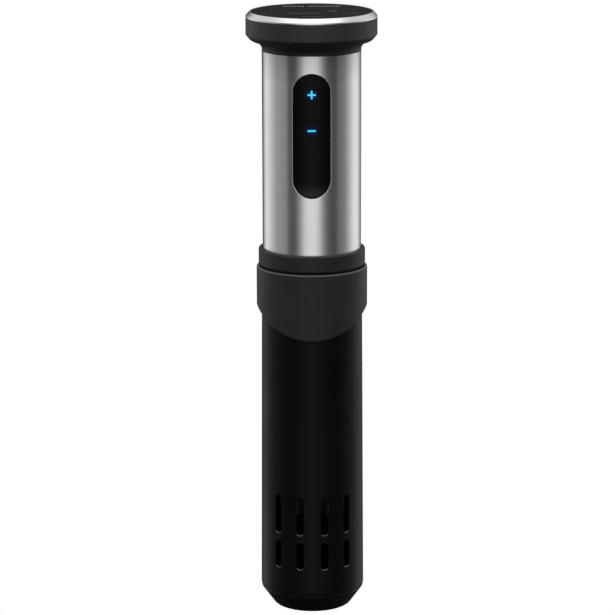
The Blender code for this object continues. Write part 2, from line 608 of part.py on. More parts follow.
# ---------------------------------------------------------------- motor and electronics
def motor_group(parent):
    for index, angle in enumerate(STANDOFF_ANGLES, 1):
        x, y = polar(STANDOFF_RING_R, angle)
        z0 = FLANGE_Z1 + GAP
        place(f"standoff_{index}", rod(STANDOFF_R, z0, z0 + STANDOFF_LENGTH, 6), "brass", parent, (x, y, 0))
    mount = place("motor_mount", ring(SHAFT_R + 2, TUBE_IN_R - 2 * GAP, MOUNT_Z0, MOUNT_Z1), "dark_plastic",
                  parent)
    screw_holes = [moved(rod(SCREW_R + GAP, MOUNT_Z0 - 3, MOTOR_Z0 + 5), (side * MOTOR_SCREW_X, 0, 0))
                   for side in (-1, 1)]
    screw_cutter = cutter("motor_screw_holes", merged(*screw_holes))
    half = RAIL_WIDTH / 2
    rails = [box((side * RAIL_X - half, RAIL_FACE_Y, MOUNT_Z0 + 1), (side * RAIL_X + half, RAIL_Y + half,
                                                                    RAIL_TOP_Z))
             for side in (-1, 1)]
    cut(mount, cutter("mount_rails", merged(*rails)), "UNION")
    cut(mount, screw_cutter)
    board_holes = cutter("rail_screw_holes", merged(*[board_screw_space(s) for s in (-1, 1)]))
    cut(mount, board_holes)
    case = turned([(MOTOR_R, MOTOR_Z1), (MOTOR_R, MOTOR_Z0), (SHAFT_R + 1, MOTOR_Z0),
                   (SHAFT_R + 1, MOTOR_Z0 + MOTOR_WALL), (MOTOR_R - MOTOR_WALL, MOTOR_Z0 + MOTOR_WALL),
                   (MOTOR_R - MOTOR_WALL, MOTOR_Z1)], 24)
    case = place("motor_case", case, "bright_steel", parent)
    cut(case, screw_cutter)
    place("motor_end_cap", ring(SHAFT_BORE_R, MOTOR_R, MOTOR_Z1 + GAP, MOTOR_CAP_Z1, 24), "white_plastic",
          parent)
    for index, side in enumerate((-1, 1), 1):
        top = MOTOR_Z0 + MOTOR_WALL
        shape = turned([(0, top), (SCREW_R, top), (SCREW_R, MOUNT_Z0 - GAP), (SCREW_HEAD_R, MOUNT_Z0 - GAP),
                        (SCREW_HEAD_R, MOUNT_Z0 - GAP - SCREW_HEAD_HEIGHT),
                        (0, MOUNT_Z0 - GAP - SCREW_HEAD_HEIGHT)], SMALL)
        place(f"motor_screw_{index}", shape, "bright_steel", parent, (side * MOTOR_SCREW_X, 0, 0))


def board_screw_space(side):
    """Hole for a board screw, through the board and into its rail."""
    z = MAIN_BOARD_Z0 + MAIN_BOARD_HEIGHT / 2
    return moved(rod(SCREW_R + GAP, MAIN_BOARD_Y0 - 3, RAIL_Y + 0.6, SMALL, "Y"), (side * RAIL_X, 0, z))


def electronics(parent):
    half = MAIN_BOARD_WIDTH / 2
    board = box((-half, MAIN_BOARD_Y0, MAIN_BOARD_Z0), (half, MAIN_BOARD_Y1, RAIL_TOP_Z))
    board = place("main_board", board, "circuit_board", parent)
    cut(board, cutter("board_screw_holes", merged(*[board_screw_space(s) for s in (-1, 1)])))
    face = MAIN_BOARD_Y0 - GAP
    z0 = MAIN_BOARD_Z0
    place("relay", box((-16, face - 10, z0 + 1), (-4, face, z0 + 16)), "white_plastic", parent)
    place("capacitor", rod(5.0, z0 + 1, z0 + 16, 16), "dark_plastic", parent, (7, face - 5.2, 0))
    place("transformer", box((2, face - 13, z0 + 24), (16, face, z0 + 38), 1.2, 1), "yellow_tape", parent)
    fins = [box((x, face - 9, z0 + 24), (x + 1.4, face - 1, z0 + 38)) for x in (-16, -12.4, -8.8, -5.2)]
    base = box((-16, face - 1.6, z0 + 24), (-3.8, face, z0 + 38))
    sink = place("heat_sink", base, "satin_silver", parent)
    cut(sink, cutter("sink_fins", merged(*fins)), "UNION")
    for index, side in enumerate((-1, 1), 1):
        seat = MAIN_BOARD_Y0 - GAP
        z = MAIN_BOARD_Z0 + MAIN_BOARD_HEIGHT / 2
        shape = turned([(0, RAIL_Y), (SCREW_R, RAIL_Y), (SCREW_R, seat), (SCREW_HEAD_R, seat),
                        (SCREW_HEAD_R, seat - SCREW_HEAD_HEIGHT),
                        (0, seat - SCREW_HEAD_HEIGHT)], SMALL, "Y")
        place(f"board_screw_{index}", shape, "bright_steel", parent, (side * RAIL_X, 0, z))


# ---------------------------------------------------------------- rotor
def rotor_group(parent):
    """Everything that spins: motor core, coupling, long shaft, impeller and its nut."""
    core_z0 = MOTOR_Z0 + 4.0
    core_z1 = core_z0 + ROTOR_HEIGHT
    tip = MOTOR_CAP_Z1 + 1.2
    foot = COUPLING_MID_Z + GAP
    core = turned([(0, tip), (SHAFT_R, tip), (SHAFT_R, core_z1), (ROTOR_R, core_z1), (ROTOR_R, core_z0),
                   (SHAFT_R, core_z0), (SHAFT_R, foot), (0, foot)], 20)
    place("motor_rotor", core, "brass", parent)
    place("shaft_coupling", ring(SHAFT_BORE_R, COUPLING_R, COUPLING_Z0, COUPLING_Z0 + COUPLING_LENGTH, 20),
          "white_plastic", parent)
    place("drive_shaft", rod(SHAFT_R, SHAFT_Z0, COUPLING_MID_Z, 16), "bright_steel", parent)
    hub = ring(SHAFT_BORE_R, HUB_R, HUB_Z0, HUB_Z1, 20)
    wheel = place("impeller", hub, "dark_plastic", parent)
    disc = ring(HUB_R - 1, IMPELLER_R, IMPELLER_Z1 - IMPELLER_DISC, IMPELLER_Z1, 30)
    blade_z1 = IMPELLER_Z1 - IMPELLER_DISC / 2
    blade_z0 = IMPELLER_Z1 - IMPELLER_DISC - BLADE_HEIGHT
    blades = []
    for index in range(BLADE_COUNT):
        blade = box((HUB_R - 0.8, -BLADE_THICK / 2, blade_z0),
                    (IMPELLER_R - 0.8, BLADE_THICK / 2, blade_z1))
        blades.append(spun(blade, index * 360 / BLADE_COUNT))
    cut(wheel, cutter("impeller_disc", disc), "UNION")
    cut(wheel, cutter("impeller_blades", merged(*blades)), "UNION")
    nut = place("impeller_nut", rod(NUT_R, NUT_Z0, NUT_Z1, 6), "brass", parent)
    cut(nut, cutter("nut_bore", rod(SHAFT_BORE_R, NUT_Z0 - 2, NUT_Z1 + 2, 16)))


# ---------------------------------------------------------------- heater, sensors, pump frame
def heater_path():
    """Leg down, bend, helix, run out, bend, leg up outside the helix."""
    leg_top = FLANGE_Z1 + TERMINAL_RISE
    z_start = HEATER_TOP_Z
    z_end = z_start - HEATER_PITCH * HEATER_TURNS
    start = math.radians(HEATER_START_ANGLE)

    def on_coil(angle, z):
        return Vector((HEATER_COIL_R * math.cos(angle), HEATER_COIL_R * math.sin(angle), z))

    tangent = Vector((-math.sin(start), math.cos(start), 0.0))

    def bend(origin, outward):
        """Quarter bend from level to upright, from the coil outwards."""
        turns = [math.pi / 2 * k / 5 for k in range(6)]
        return [origin + HEATER_BEND_R * (outward * math.sin(a) + Vector((0, 0, 1 - math.cos(a))))
                for a in turns]

    first = bend(on_coil(start, z_start), -tangent)
    points = [Vector((first[-1].x, first[-1].y, leg_top))] + first[::-1]
    steps = 18 * HEATER_TURNS
    for k in range(1, steps + 1):
        share = k / steps
        angle = start + 2 * math.pi * HEATER_TURNS * share
        points.append(on_coil(angle, z_start + (z_end - z_start) * share))
    last = bend(on_coil(start, z_end) + tangent * HEATER_RUN_OUT, tangent)
    points += last
    points.append(Vector((last[-1].x, last[-1].y, leg_top)))
    return points


def wet_group(parent):
    wire("heater_coil", heater_path(), HEATER_WIRE_R, "bright_steel", parent)
    pieces = through_pieces()
    rise = FLANGE_Z1 + TERMINAL_RISE
    for name, key, low in (("temperature_probe", "probe", PLATE_Z1 + PROBE_CLEAR),
                           ("level_rod_long", "level_long", PLATE_Z1 + LEVEL_CLEAR),
                           ("level_rod_short", "level_short", BULK_LOW_Z - LEVEL_SHORT)):
        radius, angle, size = pieces[key]
        x, y = polar(radius, angle)
        shape = turned([(0, rise), (size, rise), (size, low + size), (size * 0.7, low + size * 0.3),
                        (0, low)], SMALL)
        place(name, shape, "bright_steel", parent, (x, y, 0))
    shank_top = BULK_LOW_Z + ROD_GRIP
    head_top = PLATE_Z0 - GAP
    for index, angle in enumerate(ROD_ANGLES, 1):
        x, y = polar(ROD_RING_R, angle)
        head_low = head_top - ROD_HEAD_HEIGHT
        shape = turned([(0, shank_top), (ROD_END_R, shank_top), (ROD_END_R, BULK_LOW_Z - GAP),
                        (ROD_R, BULK_LOW_Z - GAP), (ROD_R, PLATE_Z1 + GAP), (ROD_END_R, PLATE_Z1 + GAP),
                        (ROD_END_R, head_top), (ROD_HEAD_R, head_top), (ROD_HEAD_R, head_low),
                        (0, head_low)], SMALL)
        place(f"tie_rod_{index}", shape, "bright_steel", parent, (x, y, 0))
    disc = ring(BUSHING_R + GAP, PLATE_R, PLATE_Z0, PLATE_Z1, 30)
    plate = place("pump_plate", disc, "dark_plastic", parent)
    holes = []
    for angle in ROD_ANGLES:
        x, y = polar(ROD_RING_R, angle)
        holes.append(moved(rod(ROD_END_R + GAP, PLATE_Z0 - 3, PLATE_Z1 + 3), (x, y, 0)))
    cut(plate, cutter("plate_holes", merged(*holes)))
    place("lower_bushing", ring(SHAFT_BORE_R, BUSHING_R, PLATE_Z0, PLATE_Z1, 20), "brass", parent)
    inner = SHAFT_R + 0.6
    place("shaft_tube", ring(inner, inner + SHAFT_TUBE_WALL, PLATE_Z1 + GAP, BULK_LOW_Z - GAP, 16),
          "bright_steel", parent)


# ---------------------------------------------------------------- skirt and end cap
def skirt(parent):
    """Tapered tube with four columns of slots at the front, each a short slot below a long one."""
    shell = turned([(SKIRT_TOP_R, SKIRT_Z1), (SKIRT_BOTTOM_R, SKIRT_Z0),
                    (SKIRT_BOTTOM_R - SKIRT_WALL, SKIRT_Z0), (SKIRT_BORE_R, SKIRT_Z1)])
    tube = place("skirt", shell, "satin_black", parent)
    rows = ((LOW_SLOT_Z, LOW_SLOT_Z + LOW_SLOT_HEIGHT), (HIGH_SLOT_Z, HIGH_SLOT_Z + HIGH_SLOT_HEIGHT))
    slots = []
    for angle in SLOT_ANGLES:
        for z0, z1 in rows:
            slots.append(spun(stadium(SLOT_WIDTH, z0, z1, -SKIRT_BOTTOM_R - 4, -SKIRT_TOP_R / 2, 6), angle))
    cut(tube, cutter("skirt_slots", merged(*slots)))


def end_cap(parent):
    """Chamfered cup that closes the skirt, with a flat foot and a spigot inside the skirt."""
    edge = SKIRT_BOTTOM_R - 0.15
    spigot_r = SKIRT_BOTTOM_R - SKIRT_WALL - GAP - 0.05
    inner = spigot_r - 1.95
    top = CAP_HEIGHT
    profile = [(0, CAP_WALL), (FOOT_R + 3.0, CAP_WALL), (inner - 0.6, top - 2.5), (inner, top),
               (inner, top + CAP_SPIGOT), (spigot_r, top + CAP_SPIGOT), (spigot_r, top), (edge, top),
               (edge - 0.45, top - 1.3), (edge - 1.65, top - 3.0), (FOOT_R + 5.7, 2.0),
               (FOOT_R + 4.1, 0.75), (FOOT_R + 2.1, 0.12), (FOOT_R, 0), (0, 0)]
    place("end_cap", turned(profile), "satin_black", parent)


# ---------------------------------------------------------------- clamp
def apron_outline():
    """Prism along Y: straight sides above, a circular arc below; what lies in it is kept."""
    centre = APRON_Z + APRON_ARC_R
    points = []
    steps = 30
    for k in range(steps + 1):
        angle = math.pi + math.pi * k / steps
        points.append((APRON_ARC_R * math.cos(angle), centre + APRON_ARC_R * math.sin(angle)))
    points += [(APRON_ARC_R, SLEEVE_TOP_Z + 10), (-APRON_ARC_R, SLEEVE_TOP_Z + 10)]
    bm = bmesh.new()
    face = bm.faces.new([bm.verts.new((x, -60, z)) for x, z in points])
    out = bmesh.ops.extrude_face_region(bm, geom=[face])
    back = [v for v in out["geom"] if isinstance(v, bmesh.types.BMVert)]
    bmesh.ops.translate(bm, vec=(0, 120, 0), verts=back)
    return bm


def bracket_screw_heights():
    return SLEEVE_TOP_Z - 6.9, SLEEVE_TOP_Z - 22.5


def bracket_screw_space(depth):
    """Holes for both bracket screws from the bracket's rear face to a depth along Y."""
    return [moved(rod(SCREW_R + GAP, depth, BRACKET_Y1 + 3, SMALL, "Y"), (0, 0, z))
            for z in bracket_screw_heights()]


def clamp_sleeve(parent):
    """Swivelling sleeve with a curved apron front and back and a flat boss for the bracket."""
    low = APRON_Z - 4
    top = SLEEVE_TOP_Z
    profile = [(SLEEVE_R - 1.1, top), (SLEEVE_R - 0.4, top - 0.3), (SLEEVE_R, top - 1.0), (SLEEVE_R, low),
               (SLEEVE_BORE_R, low), (SLEEVE_BORE_R, LIP_Z0), (LIP_BORE_R, LIP_Z0), (LIP_BORE_R, LIP_Z1),
               (SLEEVE_BORE_R, LIP_Z1), (SLEEVE_BORE_R, top)]
    sleeve = place("clamp_sleeve", turned(profile), "soft_black", parent)
    half = BOSS_WIDTH / 2
    boss = box((-half, SLEEVE_R - 5.2, top - BOSS_DROP), (half, BOSS_FACE_Y, top - BOSS_TOP_DROP), 2.0, 1)
    cut(sleeve, cutter("sleeve_boss", boss), "UNION")
    cut(sleeve, cutter("sleeve_bore", rod(SLEEVE_BORE_R, low - 5, LIP_Z0, ROUND)))
    cut(sleeve, cutter("apron_outline", apron_outline()), "INTERSECT")
    cut(sleeve, cutter("boss_screw_holes", merged(*bracket_screw_space(SLEEVE_BORE_R + 0.9))))


def clamp_bracket(parent):
    """Plate with two ears for the hinge pin and a tongue that is the fixed jaw."""
    half = EAR_X1
    plate = box((-half, BRACKET_Y0, BRACKET_LOW_Z), (half, BRACKET_Y1, BRACKET_TOP_Z), 2.5, 1)
    bracket = place("clamp_bracket", plate, "dark_plastic", parent)
    ears = []
    for side in (-1, 1):
        x0, x1 = sorted((side * EAR_X0, side * EAR_X1))
        bm = bmesh.new()
        points = [(BRACKET_Y0 + 1, HINGE_Z - EAR_R), (HINGE_Y, HINGE_Z - EAR_R)]
        for k in range(1, 8):
            angle = -math.pi / 2 + math.pi * k / 8
            points.append((HINGE_Y + EAR_R * math.cos(angle), HINGE_Z + EAR_R * math.sin(angle)))
        points += [(HINGE_Y, HINGE_Z + EAR_R), (BRACKET_Y0 + 1, HINGE_Z + EAR_R)]
        face = bm.faces.new([bm.verts.new((x0, y, z)) for y, z in points])
        out = bmesh.ops.extrude_face_region(bm, geom=[face])
        bmesh.ops.translate(bm, vec=(x1 - x0, 0, 0),
                            verts=[v for v in out["geom"] if isinstance(v, bmesh.types.BMVert)])
        ears.append(bm)
    cut(bracket, cutter("bracket_ears", merged(*ears)), "UNION")
    pin_hole = moved(rod(PIN_R + GAP, -EAR_X1 - 3, EAR_X1 + 3, SMALL, "X"), (0, HINGE_Y, HINGE_Z))
    cut(bracket, cutter("bracket_holes", merged(pin_hole, *bracket_screw_space(BRACKET_Y0 - 2))))
    pad_half = PAD_WIDTH / 2
    pad = box((-pad_half, PAD_Y0, PAD_Z0), (pad_half, PAD_Y1, PAD_Z1), 1.5, 1)
    place("fixed_pad", pad, "rubber", parent)
    for index, z in enumerate(bracket_screw_heights(), 1):
        seat = BRACKET_Y1 + GAP
        tip = SLEEVE_BORE_R + 1.4
        shape = turned([(0, seat + SCREW_HEAD_HEIGHT), (SCREW_HEAD_R, seat + SCREW_HEAD_HEIGHT),
                        (SCREW_HEAD_R, seat), (SCREW_R, seat), (SCREW_R, tip), (0, tip)], SMALL, "Y")
        place(f"bracket_screw_{index}", shape, "bright_steel", parent, (0, 0, z))


def hinge_pin(parent):
    inner = EAR_X1 + GAP
    outer = inner + PIN_HEAD_THICK
    shape = turned([(0, outer), (PIN_HEAD_R, outer), (PIN_HEAD_R, inner), (PIN_R, inner), (PIN_R, -inner),
                    (PIN_HEAD_R, -inner), (PIN_HEAD_R, -outer), (0, -outer)], SMALL, "X")
    place("hinge_pin", shape, "bright_steel", parent, (0, HINGE_Y, HINGE_Z))


def return_spring(parent):
    """Torsion spring on the pin: one leg on the bracket, the other behind the lever's jaw arm."""
    length = SPRING_PITCH * SPRING_TURNS
    steps = int(14 * SPRING_TURNS)
    points = [(-length / 2, PAD_Y0 + 0.4 - HINGE_Y, SPRING_COIL_R)]
    for k in range(steps + 1):
        share = k / steps
        angle = math.pi / 2 - 2 * math.pi * SPRING_TURNS * share
        points.append((length * (share - 0.5), SPRING_COIL_R * math.cos(angle),
                       SPRING_COIL_R * math.sin(angle)))
    leg_y = LEVER_Y1 + GAP + SPRING_WIRE_R - HINGE_Y
    points.append((length / 2, max(leg_y, SPRING_COIL_R * 0.6), -14.0))
    wire("return_spring", points, SPRING_WIRE_R, "bright_steel", parent, (0, HINGE_Y, HINGE_Z), 1)


def clamp_lever(parent):
    """Sprung lever: jaw arm below the pin, finger tab above it, window for the spring."""
    half = LEVER_WIDTH / 2
    arm = box((-half, LEVER_Y0 - HINGE_Y, BRACKET_LOW_Z - HINGE_Z), (half, LEVER_Y1 - HINGE_Y, 0), 2.0, 1)
    lever = place("clamp_lever", arm, "dark_plastic", parent, (0, HINGE_Y, HINGE_Z))
    hub = moved(rod(LEVER_HUB_R, -half, half, 16, "X"), (0, HINGE_Y, HINGE_Z))
    cut(lever, cutter("lever_hub", hub), "UNION")
    tab = box((-half, -LEVER_THICK / 2, 0), (half, LEVER_THICK / 2, TAB_LENGTH), 3.0, 1)
    cut(lever, cutter("lever_tab", moved(spun(tab, -TAB_LEAN, "X"), (0, HINGE_Y, HINGE_Z))), "UNION")
    window_half = SPRING_WINDOW / 2
    window = box((-window_half, HINGE_Y - 10, HINGE_Z - 7.5), (window_half, HINGE_Y + 10, HINGE_Z + 7.5))
    bore = moved(rod(PIN_R + GAP, -half - 3, half + 3, SMALL, "X"), (0, HINGE_Y, HINGE_Z))
    cut(lever, cutter("lever_window", window))
    cut(lever, cutter("lever_bore", bore))
    pad_half = PAD_WIDTH / 2
    pad = box((-pad_half, LEVER_PAD_Y0 - HINGE_Y, PAD_Z0 - HINGE_Z),
              (pad_half, LEVER_PAD_Y1 - HINGE_Y, PAD_Z1 - HINGE_Z), 1.5, 1)
    place("lever_pad", pad, "rubber", parent, (0, HINGE_Y, HINGE_Z))


# ---------------------------------------------------------------- assembly
def main():
    root = joint_empty("root_frame", (0, 0, 0))
    head_shell(root)
    display_ring(root)
    display_stack(root)
    steel_tube(root)
    touch_panel(root)
    touch_electronics(root)
    cord_gland(root)
    upper_collar(root)
    bulkhead(root)
    motor_group(root)
    electronics(root)
    wet_group(root)
    rotor_group(joint_empty("rotor_axis", (0, 0, COUPLING_MID_Z)))
    skirt_axis = joint_empty("skirt_axis", (0, 0, SKIRT_Z1))
    skirt(skirt_axis)
    end_cap(joint_empty("cap_axis", (0, 0, CAP_HEIGHT)))
    swivel = joint_empty("sleeve_axis", (0, 0, LIP_Z0))
    clamp_sleeve(swivel)
    clamp_bracket(swivel)
    hinge_pin(swivel)
    return_spring(swivel)
    clamp_lever(joint_empty("lever_axis", (0, HINGE_Y, HINGE_Z)))


clear_scene()
MATERIALS = {name: make_material(name, *finish) for name, finish in FINISHES.items()}
main()
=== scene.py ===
"""Looks of the sous vide circulator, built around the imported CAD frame. Metres, +Z up, touch panel at -Y."""
import math

import bmesh
import bpy
from mathutils import Matrix, Vector


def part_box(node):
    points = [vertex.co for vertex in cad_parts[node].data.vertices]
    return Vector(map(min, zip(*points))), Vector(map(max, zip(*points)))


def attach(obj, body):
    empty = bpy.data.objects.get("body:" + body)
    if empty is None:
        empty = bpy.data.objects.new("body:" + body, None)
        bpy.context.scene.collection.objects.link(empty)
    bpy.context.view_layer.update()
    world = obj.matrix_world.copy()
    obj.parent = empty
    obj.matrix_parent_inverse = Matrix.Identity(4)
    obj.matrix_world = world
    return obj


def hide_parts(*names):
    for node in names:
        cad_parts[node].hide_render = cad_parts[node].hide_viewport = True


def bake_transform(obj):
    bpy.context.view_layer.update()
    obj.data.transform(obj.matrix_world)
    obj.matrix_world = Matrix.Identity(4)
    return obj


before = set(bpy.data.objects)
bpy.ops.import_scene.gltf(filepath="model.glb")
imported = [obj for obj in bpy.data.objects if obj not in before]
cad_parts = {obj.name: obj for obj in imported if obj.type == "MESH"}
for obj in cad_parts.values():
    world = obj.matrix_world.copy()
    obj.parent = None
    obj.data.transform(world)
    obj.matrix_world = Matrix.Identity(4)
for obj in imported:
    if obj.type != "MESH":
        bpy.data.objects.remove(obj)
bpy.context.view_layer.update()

MM = 0.001
FINE = 192              # sides of a turned casing
PIN = 48                # sides of a small turned piece


# ---------------------------------------------------------------- sizes read from the frame
def low(node):
    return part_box(node)[0]


def high(node):
    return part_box(node)[1]


TUBE_R = high("steel_tube").x
TUBE_Z0 = low("steel_tube").z
TUBE_Z1 = high("steel_tube").z
TUBE_WALL = 0.8 * MM
HEAD_R = high("head_shell").x
HEAD_Z0 = low("head_shell").z
HEAD_Z1 = high("head_shell").z
HEAD_NECK_Z = TUBE_Z1 + 0.3 * MM
HEAD_EDGE_Z = HEAD_NECK_Z + 8.3 * MM
RING_Z1 = high("display_ring").z
RING_Z0 = HEAD_Z1 + 0.25 * MM
LENS_R = high("display_lens").x
LENS_Z0 = low("display_lens").z
LENS_Z1 = high("display_lens").z
PANEL_HALF = high("touch_panel").x
PANEL_Z0 = low("touch_panel").z
PANEL_Z1 = high("touch_panel").z
COLLAR_R = high("upper_collar").x
COLLAR_Z0 = low("upper_collar").z
COLLAR_Z1 = high("upper_collar").z
SLEEVE_R = high("clamp_sleeve").x
SLEEVE_Z1 = high("clamp_sleeve").z
APRON_Z = low("clamp_sleeve").z
BOSS_Y = high("clamp_sleeve").y
SKIRT_R0 = high("skirt").x
SKIRT_Z0 = low("skirt").z
SKIRT_Z1 = high("skirt").z
CAP_R = high("end_cap").x
PLUS_Z = (low("plus_light_guide").z + high("plus_light_guide").z) / 2
MINUS_Z = (low("minus_light_guide").z + high("minus_light_guide").z) / 2
PIN_Y = (low("hinge_pin").y + high("hinge_pin").y) / 2
PIN_Z = (low("hinge_pin").z + high("hinge_pin").z) / 2

SKIRT_R1 = TUBE_R + 0.55 * MM
SKIRT_WALL = 1.5 * MM
SLEEVE_BORE = SKIRT_R1 + 0.55 * MM
SLOT_HALF = 2.08 * MM
SLOT_LIP = 0.35 * MM
SLOT_ROWS = ((27.6 * MM, 42.7 * MM), (47.2 * MM, 68.6 * MM))
SLOT_ANGLES = (-41.5, -14.0, 14.0, 41.5)        # degrees round Z, 0 at the front
CAP_TOP_Z = SKIRT_Z0 - 0.3 * MM                 # the gap is the seam under the skirt
FOOT_FLAT_R = 15.3 * MM


# ---------------------------------------------------------------- node helpers for materials
class Paint:
    """A node material under construction: one Principled shader and short ways to add nodes."""

    def __init__(self, name, colour, roughness, metallic=0.0, **sockets):
        self.mat = bpy.data.materials.new(name)
        self.mat.use_nodes = True
        self.tree = self.mat.node_tree
        self.shader = self.tree.nodes["Principled BSDF"]
        self.set("Base Color", (*colour, 1.0))
        self.set("Roughness", roughness)
        self.set("Metallic", metallic)
        for key, value in sockets.items():
            self.set(key.replace("_", " "), value)

    def set(self, socket, value):
        self.shader.inputs[socket].default_value = value

    def node(self, kind, settings=None, **inputs):
        made = self.tree.nodes.new(kind)
        for key, value in (settings or {}).items():
            setattr(made, key, value)
        for key, value in inputs.items():
            self.feed(made.inputs[key.replace("_", " ")], value)
        return made

    def feed(self, socket, value):
        if isinstance(value, bpy.types.NodeSocket):
            self.tree.links.new(value, socket)
        else:
            socket.default_value = value

    def math(self, operation, *values):
        made = self.tree.nodes.new("ShaderNodeMath")
        made.operation = operation
        for socket, value in zip(made.inputs, values):
            self.feed(socket, value)
        return made.outputs[0]

    def place(self):
        return self.node("ShaderNodeTexCoord").outputs["Object"]

    def xyz(self, vector):
        return self.node("ShaderNodeSeparateXYZ", Vector=vector).outputs

    def vector(self, x, y, z):
        return self.node("ShaderNodeCombineXYZ", X=x, Y=y, Z=z).outputs[0]

    def noise(self, vector, scale, detail=3.0, roughness=0.55):
        made = self.node("ShaderNodeTexNoise", Vector=vector, Scale=scale, Detail=detail, Roughness=roughness)
        return made.outputs["Fac"]

    def spread(self, value, low_value, high_value, from_low=0.3, from_high=0.7):
        """Maps a value onto another range and holds it at the ends."""
        made = self.node("ShaderNodeMapRange", {"clamp": True}, Value=value, From_Min=from_low,
                         From_Max=from_high, To_Min=low_value, To_Max=high_value)
        return made.outputs[0]

    def blend(self, factor, first, second):
        made = self.node("ShaderNodeMix", {"data_type": "RGBA"})
        self.feed(made.inputs["Factor"], factor)
        for socket, value in zip(made.inputs[6:8], (first, second)):
            self.feed(socket, value if isinstance(value, bpy.types.NodeSocket) else (*value, 1.0))
        return made.outputs[2]

    def link(self, socket, value):
        self.tree.links.new(value, self.shader.inputs[socket])

    def bump(self, height, strength, distance):
        made = self.node("ShaderNodeBump", Height=height, Strength=strength, Distance=distance)
        self.link("Normal", made.outputs[0])

    def wear(self, base, worn, amount):
        """Base colour that turns to the worn colour along outward edges."""
        pointy = self.node("ShaderNodeNewGeometry").outputs["Pointiness"]
        edge = self.spread(pointy, 0.0, amount, 0.52, 0.62)
        return self.blend(edge, base, worn)


def length_of(p, first, second):
    return p.math("SQRT", p.math("ADD", p.math("MULTIPLY", first, first), p.math("MULTIPLY", second, second)))


def round_tube(p):
    """Angle round Z, height and distance from Z of a point, for marks that run round the tube."""
    x, y, z = p.xyz(p.place())[0:3]
    return p.math("ARCTAN2", x, y), z, length_of(p, x, y)


def soft_touch(name, colour, lighter, specular, lip=None, neck=None):
    """Rubbery coating with fine grain and faint handling marks.
    lip is (height, radius, depth, colour) of a top edge whose colour is a painted highlight, neck the two
    heights between which the coating is painted dark on its way down, as painted shade under the head."""
    p = Paint(name, colour, 0.6, Specular_IOR_Level=specular)
    at = p.place()
    marks = p.noise(at, 38.0, 4.0)
    grain = p.noise(at, 5200.0, 2.0)
    tone = p.wear(p.blend(p.spread(marks, 0.0, 1.0), colour, lighter), [c * 2.2 for c in lighter], 0.5)
    # painted highlight: along the top outer edge the colour turns much lighter, standing in for the light the
    # rounded lip catches
    if lip:
        height, radius, depth, painted_highlight_colour = lip
        _, z, out = round_tube(p)
        painted_highlight_mask = p.math("MULTIPLY", p.spread(z, 0.0, 1.0, height - depth, height - depth * 0.4),
                      p.spread(out, 0.0, 1.0, radius - depth * 2.2, radius - depth * 1.2))
        tone = p.blend(painted_highlight_mask, tone, painted_highlight_colour)
    # painted shade: below the head's rim the colour is blended towards near black, for the shaded underside
    if neck:
        painted_shade_colour = (0.002, 0.002, 0.0022)
        tone = p.blend(p.spread(p.xyz(at)[2], 0.62, 0.0, *neck), tone, painted_shade_colour)
    p.link("Base Color", tone)
    p.link("Roughness", p.spread(marks, 0.5, 0.62))
    p.bump(grain, 0.10, 0.00006)
    return p.mat


def satin_plastic(name, colour, roughness, grain_scale=2600.0, grain=0.05, specular=0.5):
    """Moulded plastic with a fine spark-eroded grain and slow changes of gloss."""
    p = Paint(name, colour, roughness, Specular_IOR_Level=specular)
    at = p.place()
    slow = p.noise(at, 22.0, 3.0)
    fine = p.noise(at, grain_scale, 2.0)
    darker, lighter = [c * 0.85 for c in colour], [c * 1.15 for c in colour]
    worn = [c * 2.5 + 0.004 for c in colour]
    p.link("Base Color", p.wear(p.blend(p.spread(slow, 0.0, 1.0), darker, lighter), worn, 0.4))
    p.link("Roughness", p.spread(slow, roughness - 0.03, roughness + 0.05))
    p.bump(fine, grain, 0.00005)
    return p.mat


def gloss_black(name, colour, specular=0.5):
    """Polished black cover with a very faint orange peel and wiped smears in the gloss.
    Returns the paint, so that a caller can add to it."""
    p = Paint(name, colour, 0.06, Specular_IOR_Level=specular)
    at = p.place()
    smear = p.noise(p.node("ShaderNodeMapping", Vector=at, Scale=(60.0, 60.0, 14.0)).outputs[0], 1.0, 4.0)
    p.link("Roughness", p.spread(smear, 0.05, 0.12))
    p.bump(p.noise(at, 420.0, 1.0), 0.02, 0.00004)
    return p


def brushed_steel(name):
    """Fine lines round the tube, so highlights stretch along it and stay crisp across it."""
    p = Paint(name, (0.6, 0.6, 0.595), 0.26, 1.0, Anisotropic=0.8, Anisotropic_Rotation=0.25)
    angle, z, _ = round_tube(p)
    p.link("Tangent", p.node("ShaderNodeTangent", {"direction_type": "RADIAL", "axis": "Z"}).outputs[0])
    lines = p.noise(p.vector(p.math("MULTIPLY", angle, 2.2), 0.0, p.math("MULTIPLY", z, 5200.0)),
                    1.0, 4.0, 0.7)
    broad = p.noise(p.vector(p.math("MULTIPLY", angle, 1.1), 3.0, p.math("MULTIPLY", z, 420.0)), 1.0, 2.0)
    cloud = p.noise(p.place(), 30.0, 2.0)
    tone = p.math("ADD", p.math("MULTIPLY", lines, 0.7), p.math("MULTIPLY", broad, 0.3))
    metal = p.blend(p.spread(tone, 0.0, 1.0, 0.35, 0.65), (0.615, 0.615, 0.61), (0.685, 0.685, 0.68))
    # painted shadow: the steel darkens towards the head, standing in for the head's shade in its reflections
    painted_head_shadow = p.spread(z, 0.0, 0.42, TUBE_Z1 - 16 * MM, TUBE_Z1)
    p.link("Base Color", p.blend(painted_head_shadow, metal, (0.22, 0.22, 0.22)))
    p.link("Roughness", p.math("ADD", p.spread(tone, 0.23, 0.29, 0.35, 0.65), p.spread(cloud, -0.015, 0.02)))
    p.bump(lines, 0.05, 0.00002)
    return p.mat


